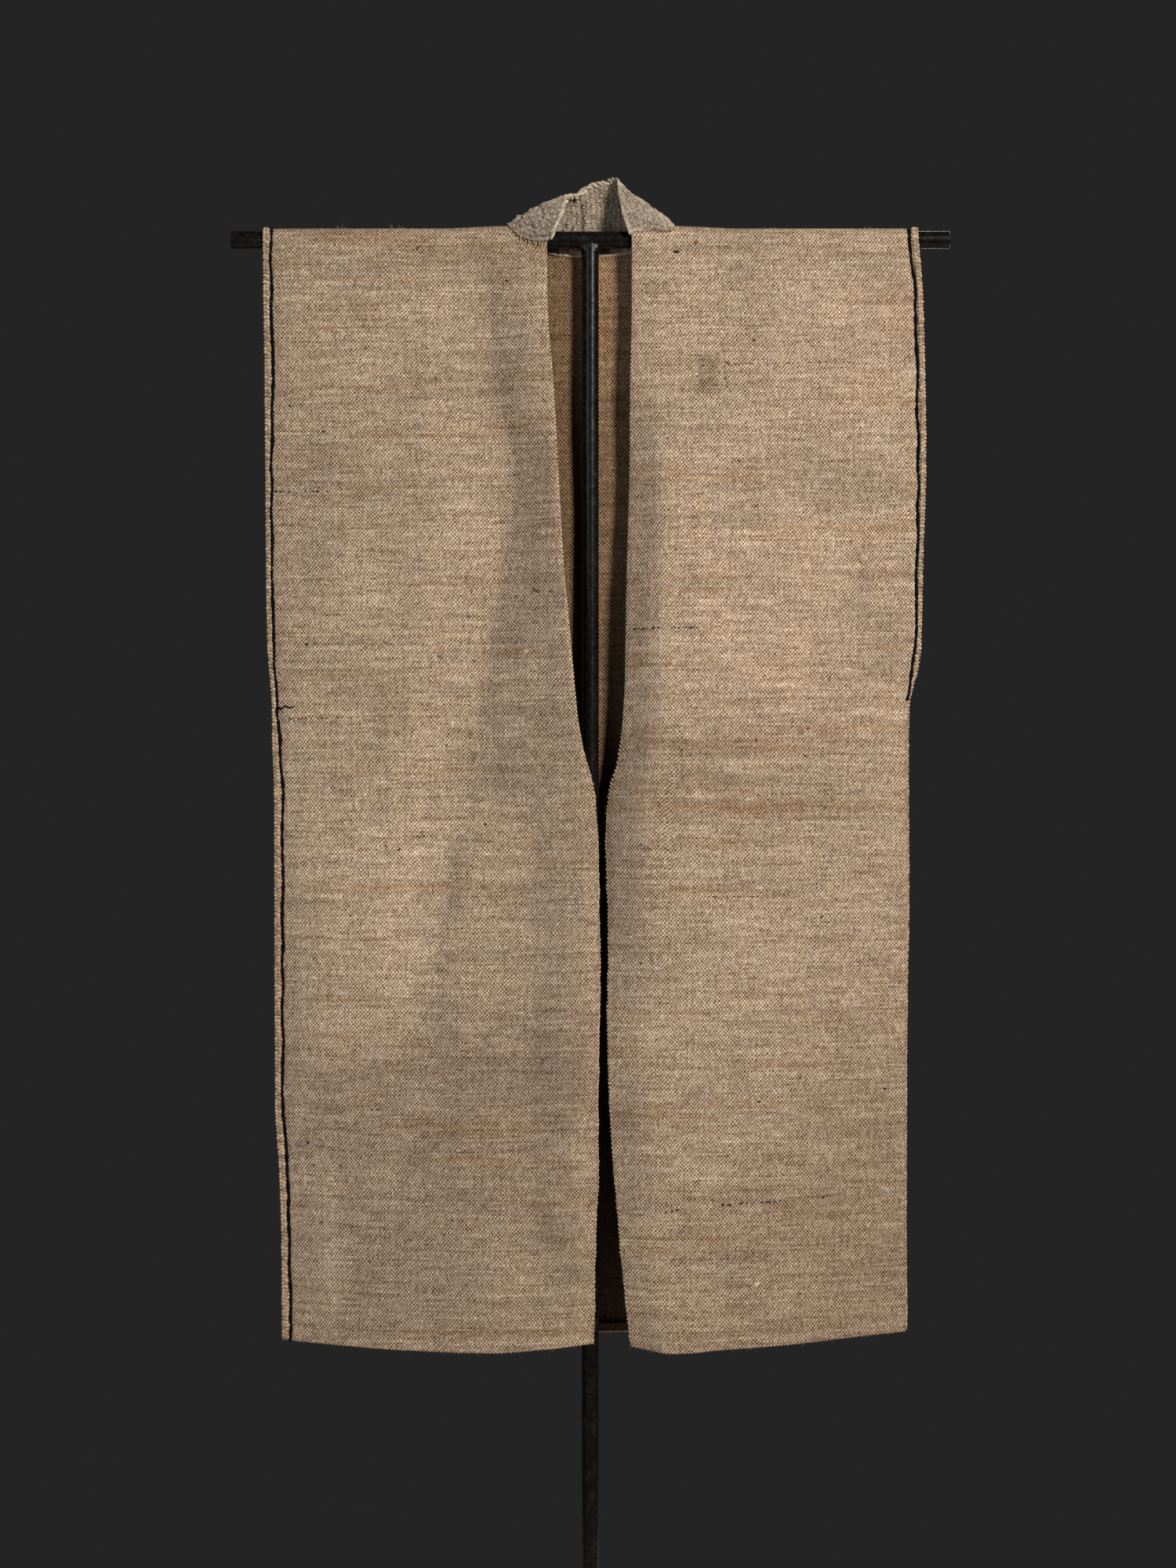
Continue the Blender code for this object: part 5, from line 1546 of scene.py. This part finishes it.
        # Stitches in staggered rows, each between the points nearest to its ends
        random = np.random.default_rng(int(300 + slant + 7 * first))
        found = []
        for number in range(int(across.min() // row), int(across.max() // row) + 2):
            for item in range(int(along.min() // step) - 1, int(along.max() // step) + 2):
                at = (item + 0.5 * (number % 2)) * step + random.normal(0.0, QUILT_SCATTER[0])
                level = number * row + random.normal(0.0, QUILT_SCATTER[1])
                half = 0.5 * length * random.uniform(*QUILT_LENGTHS)
                lean = random.normal(0.0, QUILT_SCATTER[2])
                ends = []
                for way in (-1.0, 1.0):
                    gap = np.hypot(along - at - way * half, across - level - way * lean)
                    nearest = int(gap.argmin())
                    if gap[nearest] < QUILT_FIND:
                        ends.append(nearest)
                if len(ends) == 2 and ends[0] != ends[1]:
                    found.append((places[ends[0]], places[ends[1]], normals[ends[0]], thick))

        # Valley along each stitch and a dimple at each end, with painted shade that makes them darker
        # than the cloth beside them
        pull = np.zeros(usable.shape)
        for start, end, _, _ in found:
            run = end - start
            share = np.clip(((field - start) @ run) / (run @ run), 0.0, 1.0)
            gap = np.linalg.norm(field - start - share[:, :, None] * run, axis=2)
            pull += QUILT_VALLEY * np.exp(-(gap / QUILT_DIMPLE_WIDTH) ** 2)
            for place in (start, end):
                gap = np.linalg.norm(field - place - 0.15 * run * (1.0 if place is end else -1.0), axis=2)
                pull += QUILT_DIMPLE * np.exp(-(gap / (0.6 * QUILT_DIMPLE_WIDTH)) ** 2)
        pull = np.minimum(pull, QUILT_MOST_PULL) * within[:, None]
        field -= away * pull[:, :, None]
        self.shade[outer] *= 1.0 - QUILT_SHADE * pull / QUILT_MOST_PULL
        return [(start - normal * 0.5, end - normal * 0.5, normal, size)
                for start, end, normal, size in found]

    def ring(self, step):
        """Outline of the band's section at one step, from the sewn edge round the free edge."""
        outer, inner = self.outside[step], self.inside[step]
        up = unit(outer[-1] - outer[-3])
        middle = (outer[-1] + inner[-1]) / 2.0
        reach = (outer[-1] - inner[-1]) / 2.0
        size = np.linalg.norm(reach)
        cap = [middle + reach * math.cos(angle) + up * size * math.sin(angle)
               for angle in (math.pi * k / COLLAR_CAP_STEPS for k in range(1, COLLAR_CAP_STEPS))]
        return np.concatenate((outer, cap, inner[::-1]))

    def build(self):
        rings = np.array([self.ring(step) for step in range(len(self.turns))])
        count = rings.shape[1]
        index = np.arange(rings[:, :, 0].size).reshape(rings.shape[:2])
        wrapped = np.concatenate((index, index[:, :1]), axis=1)
        quads = grid_faces(wrapped)
        mesh_faces = quads + [tuple(index[0]), tuple(index[-1][::-1])]
        steps = np.linalg.norm(np.diff(rings, axis=1), axis=2)
        across = np.concatenate((np.zeros((len(rings), 1)), np.cumsum(steps, axis=1)), axis=1)
        along = np.repeat(self.along[:, None], count, axis=1)
        cuts = np.stack((along * MM, across * MM), axis=2).reshape(-1, 2)
        # Colour factors: painted light and shade along the band, the colour of each face, then painted
        # shade in dimples and creases
        tone = np.interp(self.turns, *zip(*COLLAR_PAINTED_LIGHT_AND_SHADE))[:, None, None] * np.ones(rings.shape)
        tone[:, :COLLAR_LEVELS + 3] *= np.asarray(OUTER_COLLAR_TONE)
        tone[:, COLLAR_LEVELS + 3:] *= np.asarray(INNER_COLLAR_TONE) / tone[:, COLLAR_LEVELS + 3:] ** 0.5
        tone[:, :COLLAR_LEVELS + 1] *= self.shade[True][:, :, None]
        tone[:, -COLLAR_LEVELS - 1:] *= self.shade[False][:, ::-1, None]
        # Painted light on the strip at the foot of the inner face
        tone[np.abs(self.turns) < PAINTED_LIGHT_REACH, -PAINTED_LIGHT_LEVELS:] *= PAINTED_LIGHT_STRIP
        tints = tone.reshape(-1, 3)
        return make_piece("neckband", rings.reshape(-1, 3), mesh_faces, point_cuts=cuts, tints=tints)

    def place(self, step, level):
        """Point and normal of the outer face at a step and partway between two levels."""
        low = int(level)
        share = level - low
        point, normal = (field[step, low] * (1.0 - share) + field[step, low + 1] * share
                         for field in (self.outside, self.normals))
        return point, unit(normal)


def quilt_stitches(threads, band):
    """Short pale stitches in rows on both faces of the neckband."""
    for group in band.stitches:
        for start, end, normal, thick in group:
            tint = threads.vary(STITCH_CREAM, 0.25)
            threads.stitch(start, end, normal, thick, tint, lift=0.75, sink=0.25, steps=6)


def join_stitches(threads, band, panels):
    """Orange-brown whip stitches along the join to the body."""
    random = threads.random
    length = 0.0
    for step in range(WHIP_FIRST_STEP, COLLAR_STEPS + 1 - WHIP_FIRST_STEP):
        turn = band.turns[step]
        length += np.linalg.norm(band.outside[step, 0] - band.outside[step - 1, 0])
        side = -1 if turn < 0 else 1
        if length < WHIP_STEP[side] * random.uniform(*WHIP_SPREAD):
            continue
        length = 0.0
        start, normal = band.place(step, WHIP_LEVEL)
        end = band.sewn_point(panels, turn, WHIP_REACH[side] * random.uniform(*WHIP_SPREAD))
        tint = threads.vary(WHIP_BROWN if abs(turn) > 0.9 else BROWN, 0.3)
        thick = WHIP_THREAD[side] * random.uniform(*WHIP_SIZES)
        threads.stitch(start, end, normal, thick, tint, lift=1.0, sink=0.3)


def rope_edge(threads, band):
    """Two plies of cord twisted along the free edge of the neckband."""
    random = threads.random
    edge = (band.outside[:, -1] + band.inside[:, -1]) / 2.0
    up = unit(band.outside[:, -1] - band.outside[:, -4])
    side = band.normals[:, -1]
    length = run_lengths(edge)
    last = np.interp(ROPE_END_TURN, band.turns, length)
    at = np.arange(0.0, last, ROPE_STEP)
    steps = np.interp(at, length, np.arange(len(length)))

    def read(field):
        return np.stack([np.interp(steps, np.arange(len(field)), field[:, k]) for k in range(3)], axis=1)

    middle, rise, outward = read(edge), unit(read(up)), unit(read(side))
    turn = np.interp(steps, np.arange(len(length)), band.turns)
    thick = np.interp(turn, *zip(*ROPE_RADII))
    offset = thick * ROPE_SPREAD
    sways = [reach * line_noise(at, step, seed) for reach, step, seed in ROPE_SWAYS]
    middle = middle + rise * (0.5 + sways[0])[:, None] + outward * sways[1][:, None]
    wave = at * 2.0 * math.pi / ROPE_PITCH + sways[2]
    for ply, tint in zip((0.0, math.pi), CORD_TINTS):
        swell, step, seed = ROPE_SWELL
        radius = thick * (0.95 + swell * line_noise(at, step, seed + int(ply)))
        places = (middle + rise * (offset * np.sin(wave + ply))[:, None]
                  + outward * (offset * np.cos(wave + ply))[:, None])
        threads.add(places, radius, tint, outward, sides=10)
    for _ in range(ROPE_FIBRES):
        number = random.integers(2, len(middle) - 2)
        way = unit(random.normal(size=3) + rise[number])
        start = middle[number] + rise[number] * 1.6
        size = random.uniform(*ROPE_FIBRE_LENGTHS)
        threads.fibre(start, way, size, radius=0.12, tint=CREAM, curl=1.0)


# Materials
class Shader:
    """Node tree of one material, with short calls for its nodes."""

    def __init__(self, name):
        self.material = bpy.data.materials.new(name)
        self.material.use_nodes = True
        self.tree = self.material.node_tree
        self.surface = self.tree.nodes["Principled BSDF"]

    def feed(self, item, values):
        """Link outputs to a node's inputs, or set plain numbers and colours on them."""
        for key, value in values.items():
            if isinstance(value, bpy.types.NodeSocket):
                self.tree.links.new(value, item.inputs[key])
            elif value is not None:
                item.inputs[key].default_value = value

    def node(self, kind, values=(), **settings):
        item = self.tree.nodes.new(kind)
        for key, value in settings.items():
            setattr(item, key, value)
        self.feed(item, dict(values))
        return item

    def math(self, operation, *values):
        """The result of one sum."""
        return self.node("ShaderNodeMath", enumerate(values), operation=operation).outputs[0]

    def total(self, *values):
        """All the values added up."""
        result = values[0]
        for value in values[1:]:
            result = self.math("ADD", result, value)
        return result

    def scaled(self, value, factor, shift=0.0):
        """A value times a factor, plus a shift."""
        return self.math("MULTIPLY_ADD", value, factor, shift)

    def centred(self, noise, spread, middle=0.0):
        """Noise from 0 to 1, turned into a spread about a middle value."""
        return self.scaled(noise, spread, middle - spread / 2.0)

    def smooth(self, value, low, high):
        """0 at low, 1 at high and smooth between."""
        values = {"Value": value, "From Min": low, "From Max": high}
        return self.node("ShaderNodeMapRange", values, interpolation_type="SMOOTHSTEP").outputs[0]

    def mix(self, share, a, b, blend="MIX"):
        """The first colour, with a share of the second."""
        a, b = ((*colour, 1.0) if isinstance(colour, tuple) else colour for colour in (a, b))
        values = {0: share, 6: a, 7: b}
        return self.node("ShaderNodeMix", values, data_type="RGBA", blend_type=blend).outputs[2]

    def times(self, colour, factor):
        """A colour multiplied by another colour."""
        return self.mix(1.0, colour, factor, "MULTIPLY")

    def vector(self, *values):
        return self.node("ShaderNodeCombineXYZ", enumerate(values)).outputs[0]

    def grey(self, tone):
        """A tone as a colour."""
        return self.vector(tone, tone, tone)

    def parts(self, vector):
        return self.node("ShaderNodeSeparateXYZ", {0: vector}).outputs

    def noise(self, place, scale, detail, roughness, kind="2D", output=0):
        values = {"Vector": place, "Scale": scale, "Detail": detail, "Roughness": roughness}
        return self.node("ShaderNodeTexNoise", values, noise_dimensions=kind).outputs[output]

    def ramp(self, value, stops):
        """The colour at a value between stops."""
        item = self.node("ShaderNodeValToRGB", {0: value})
        elements = item.color_ramp.elements
        while len(elements) < len(stops):
            elements.new(0.5)
        for element, (place, colour) in zip(elements, stops):
            element.position = place
            element.color = (*colour, 1.0)
        return item.outputs[0]

    def cut(self):
        """The two coordinates of the cut, in metres."""
        return self.parts(self.node("ShaderNodeUVMap", uv_map="cut").outputs[0])[:2]

    def tint(self):
        return self.node("ShaderNodeAttribute", attribute_name="tint").outputs["Color"]

    def object_place(self):
        return self.node("ShaderNodeTexCoord").outputs["Object"]

    def bump(self, height, distance, strength=1.0, normal=None):
        """Relief of the surface. distance: in metres."""
        values = {"Height": height, "Normal": normal, "Distance": distance, "Strength": strength}
        self.feed(self.surface, {"Normal": self.node("ShaderNodeBump", values).outputs[0]})

    def finish(self, colour, roughness, metallic=0.0, sheen=0.0, gloss=0.5):
        self.feed(self.surface, {"Base Color": colour, "Roughness": roughness, "Metallic": metallic,
                                 "Specular IOR Level": gloss, "Sheen Weight": sheen,
                                 "Sheen Roughness": SHEEN_ROUGHNESS})
        return self.material


def woven(name, lean):
    """Coarse plain weave: pale raised warp dots linked slantwise, browner weft and dark gaps between,
    partly painted shade.
    """
    shader = Shader(name)
    u, v = shader.cut()
    place = shader.vector(u, v)

    def stretched(across, along, setting):
        """Noise drawn out along the threads."""
        across_scale, along_scale, detail, roughness = setting
        where = shader.vector(shader.scaled(across, across_scale), shader.scaled(along, along_scale))
        return shader.noise(where, 1.0, detail, roughness)

    drift = shader.parts(shader.noise(place, *WEAVE_DRIFT, output="Color"))
    jog = shader.parts(shader.noise(place, *WEAVE_JOG, output="Color"))
    across, along = (
        shader.total(shader.scaled(way, 1.0 / (pitch * MM)), shader.scaled(drift[axis], DRIFT_REACH[axis]),
                     shader.scaled(jog[axis], JOG_REACH[axis]))
        for axis, (way, pitch) in enumerate(((u, WARP_PITCH), (v, WEFT_PITCH))))
    warp = shader.math("ROUND", across)
    weft = shader.math("ROUND", along)
    waves = []
    for way in ("COSINE", "SINE"):
        across_wave = shader.math(way, shader.scaled(across, math.pi))
        along_wave = shader.math(way, shader.scaled(along, math.pi))
        waves.append(shader.math("MULTIPLY", across_wave, along_wave))
    lattice = shader.total(waves[0], shader.scaled(waves[1], lean))

    fine = shader.scaled(shader.noise(place, *WEAVE_FINE), 2.0, -1.0)
    middle = 0.5 - (WARP_STREAKS + WEFT_STREAKS + DOT_SPREAD) / 2.0
    level = shader.total(shader.scaled(lattice, LATTICE_CONTRAST, middle),
                         shader.scaled(stretched(warp, v, WARP_NOISE), WARP_STREAKS),
                         shader.scaled(stretched(u, weft, WEFT_NOISE), WEFT_STREAKS),
                         shader.scaled(stretched(warp, weft, DOT_NOISE), DOT_SPREAD),
                         shader.scaled(fine, FINE_SPREAD))
    colour = shader.ramp(level, WEAVE_TONES)

    rust_place = shader.vector(shader.scaled(u, RUST_STRETCH), v, 3.0)
    nep = shader.smooth(shader.noise(place, *WEAVE_NEPS), *NEPS[0])
    rust = shader.smooth(shader.noise(rust_place, *WEAVE_RUST), *RUST[0])
    for speck, (_, strength, speck_colour) in ((nep, NEPS), (rust, RUST)):
        colour = shader.mix(shader.scaled(speck, strength), colour, speck_colour)

    broad = shader.noise(place, *WEAVE_BROAD)
    bands = stretched(u, v, BAND_NOISE)
    tone = shader.total(shader.centred(broad, BROAD_SPREAD, 1.0), shader.centred(bands, BAND_SPREAD),
                        shader.centred(stretched(u, weft, PICK_NOISE), PICK_SPREAD),
                        shader.centred(stretched(warp, v, END_NOISE), END_SPREAD))
    colour = shader.times(colour, shader.grey(tone))
    cool = shader.noise(place, *WEAVE_COOL)
    for patch, (stretch, strength, factor) in ((bands, WARM_BANDS), (cool, COOL_PATCHES)):
        share = shader.scaled(shader.smooth(patch, *stretch), strength)
        colour = shader.mix(share, colour, shader.times(colour, factor))
    # Factors from the tint attribute: uneven tone, and painted light and shade
    colour = shader.times(colour, shader.tint())
    height = shader.total(shader.scaled(lattice, 0.5), shader.scaled(fine, 0.12), shader.scaled(nep, 0.2))
    shader.bump(height, WEAVE_RELIEF * MM)
    return shader.finish(colour, roughness=0.95, gloss=0.1)


def spun_thread(name):
    """Twisted thread in the colour that each thread carries."""
    shader = Shader(name)
    turn, run = shader.cut()
    twist = shader.total(turn, shader.scaled(run, THREAD_TWIST))
    twist = shader.math("SINE", shader.scaled(twist, 4.0 * math.pi))
    fine = shader.noise(shader.object_place(), *THREAD_FINE, "3D")
    tone = shader.total(shader.scaled(twist, 0.10, 0.86), shader.scaled(fine, 0.3, -0.06))
    colour = shader.times(shader.tint(), shader.grey(tone))
    shader.bump(shader.total(twist, shader.scaled(fine, 0.8)), THREAD_RELIEF * MM)
    return shader.finish(colour, roughness=0.9, gloss=0.06)


def quilted(name):
    """Fine grey-beige cotton of the neckband, mottled and worn."""
    shader = Shader(name)
    u, v = shader.cut()
    place = shader.vector(u, v)
    wave = 2.0 * math.pi / (COTTON_PITCH * MM)
    weave = shader.math("MULTIPLY", *(shader.math("SINE", shader.scaled(way, wave)) for way in (u, v)))
    broad = shader.noise(place, *COTTON_BROAD)
    fine = shader.noise(place, *COTTON_FINE)
    level = shader.total(shader.scaled(weave, 0.03, 0.12), shader.scaled(broad, COTTON_BROAD_SPREAD),
                         shader.scaled(fine, COTTON_FINE_SPREAD, -0.13))
    # The tint attribute carries painted light and shade of the band
    colour = shader.times(shader.ramp(level, COTTON_TONES), shader.tint())
    shader.bump(shader.total(shader.scaled(weave, 0.15), fine), COTTON_RELIEF * MM)
    return shader.finish(colour, roughness=0.93, sheen=0.1)


def round_wall(shader, place, axis):
    """The normal of a true cylinder about the bar's axis, on the faces that make up its wall."""
    x, y, z = shader.parts(place)
    if axis == "z":
        outward = shader.vector(x, y)
    else:
        outward = shader.vector(0.0, y, shader.scaled(z, 1.0, -ROD_AXIS_HEIGHT * MM))
    face = shader.node("ShaderNodeNewGeometry").outputs
    radial = shader.node("ShaderNodeVectorMath", {0: outward}, operation="NORMALIZE").outputs[0]
    pair = {0: radial, 1: face["True Normal"]}
    turn = shader.node("ShaderNodeVectorMath", pair, operation="DOT_PRODUCT").outputs["Value"]
    blend = {0: shader.smooth(turn, *WALL_TURN), 4: face["Normal"], 5: radial}
    return shader.node("ShaderNodeMix", blend, data_type="VECTOR").outputs[1]


def forged_steel(name, axis=None):
    """Blackened, hand-worked steel with soft mottled highlights."""
    shader = Shader(name)
    place = shader.object_place()
    hammer, mottle, grain = (shader.noise(place, *setting, "3D") for setting in STEEL_NOISE)
    level = shader.total(shader.scaled(mottle, 0.75), shader.scaled(hammer, 0.35, -0.05))
    rough = shader.total(shader.scaled(mottle, 0.16, 0.17), shader.scaled(grain, 0.06))
    height = shader.total(shader.scaled(hammer, HAMMERING[axis]), shader.scaled(mottle, 0.16),
                          shader.scaled(grain, 0.02))
    shader.bump(height, STEEL_RELIEF * MM, 0.7, round_wall(shader, place, axis) if axis else None)
    return shader.finish(shader.ramp(level, STEEL_TONES), rough, metallic=0.2, gloss=0.14)


def flat_finish(name, colour, roughness):
    """Plain matt finish of the floor."""
    shader = Shader(name)
    tone = shader.centred(shader.noise(shader.object_place(), *FLOOR_NOISE, "3D"), 0.06, 1.0)
    return shader.finish(shader.times(colour, shader.grey(tone)), roughness)


# Pieces
left_cloth, left_front, left_back = body_length("left", -1, LEFT_FRONT, LEFT_BACK)
right_cloth, right_front, right_back = body_length("right", 1, RIGHT_FRONT, RIGHT_BACK)

left_panels = (left_front, left_back)
right_panels = (right_front, right_back)
left_thread = sew_length("left", left_panels)
right_thread = sew_length("right", right_panels)

panels = {-1: left_panels, 1: right_panels}
band = Neckband(panels)
neckband = band.build()
band_sewing = Threads(SEWING_SEEDS["neckband"])
quilt_stitches(band_sewing, band)
join_stitches(band_sewing, band, panels)
rope_edge(band_sewing, band)
band_thread = band_sewing.build("threads_neckband")

thread_material = spun_thread("sewing_thread")
soft_pieces = (
    (left_cloth, woven("handwoven_cloth_left", -LATTICE_LEAN)),
    (right_cloth, woven("handwoven_cloth_right", LATTICE_LEAN)),
    (neckband, quilted("quilted_cotton")),
    (left_thread, thread_material),
    (right_thread, thread_material),
    (band_thread, thread_material),
)
for item, material in soft_pieces:
    item.data.materials.append(material)
steel_nodes = (
    ("post", forged_steel("blackened_steel_post", "z")),
    ("crossbar", forged_steel("blackened_steel_bar", "x")),
    ("base_plate", forged_steel("blackened_steel_plate")),
)
for name, material in steel_nodes:
    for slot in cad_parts[name].material_slots:
        slot.material = material

for item in (left_cloth, right_cloth, left_thread, right_thread, neckband, band_thread):
    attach(item, "root")
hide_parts("body_left_front", "body_left_back")
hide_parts("body_right_front", "body_right_back")
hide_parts("collar")

# Floor and light
floor_mesh = bpy.data.meshes.new("floor")
corners = [(x * FLOOR_SIDE / 2.0, y * FLOOR_SIDE / 2.0, 0.0)
           for x, y in ((-1, -1), (1, -1), (1, 1), (-1, 1))]
floor_mesh.from_pydata(corners, [], [(0, 1, 2, 3)])
floor = bpy.data.objects.new("floor", floor_mesh)
bpy.context.scene.collection.objects.link(floor)
floor_mesh.materials.append(flat_finish("pale_floor", FLOOR_COLOUR, 0.8))

for name, (place, aim, side, power, colour) in LIGHTS.items():
    lamp = bpy.data.lights.new(name, "AREA")
    lamp.shape = "SQUARE"
    lamp.size = side
    lamp.energy = power
    lamp.color = colour
    light = bpy.data.objects.new(name, lamp)
    light.location = place
    light.rotation_euler = (Vector(aim) - Vector(place)).to_track_quat("-Z", "Y").to_euler()
    bpy.context.scene.collection.objects.link(light)

world = bpy.data.worlds.new("studio")
world.use_nodes = True
background = world.node_tree.nodes["Background"]
background.inputs["Color"].default_value = (*BACKGROUND, 1.0)
background.inputs["Strength"].default_value = 1.0
bpy.context.scene.world = world
bpy.context.scene.view_settings.view_transform = "Standard"
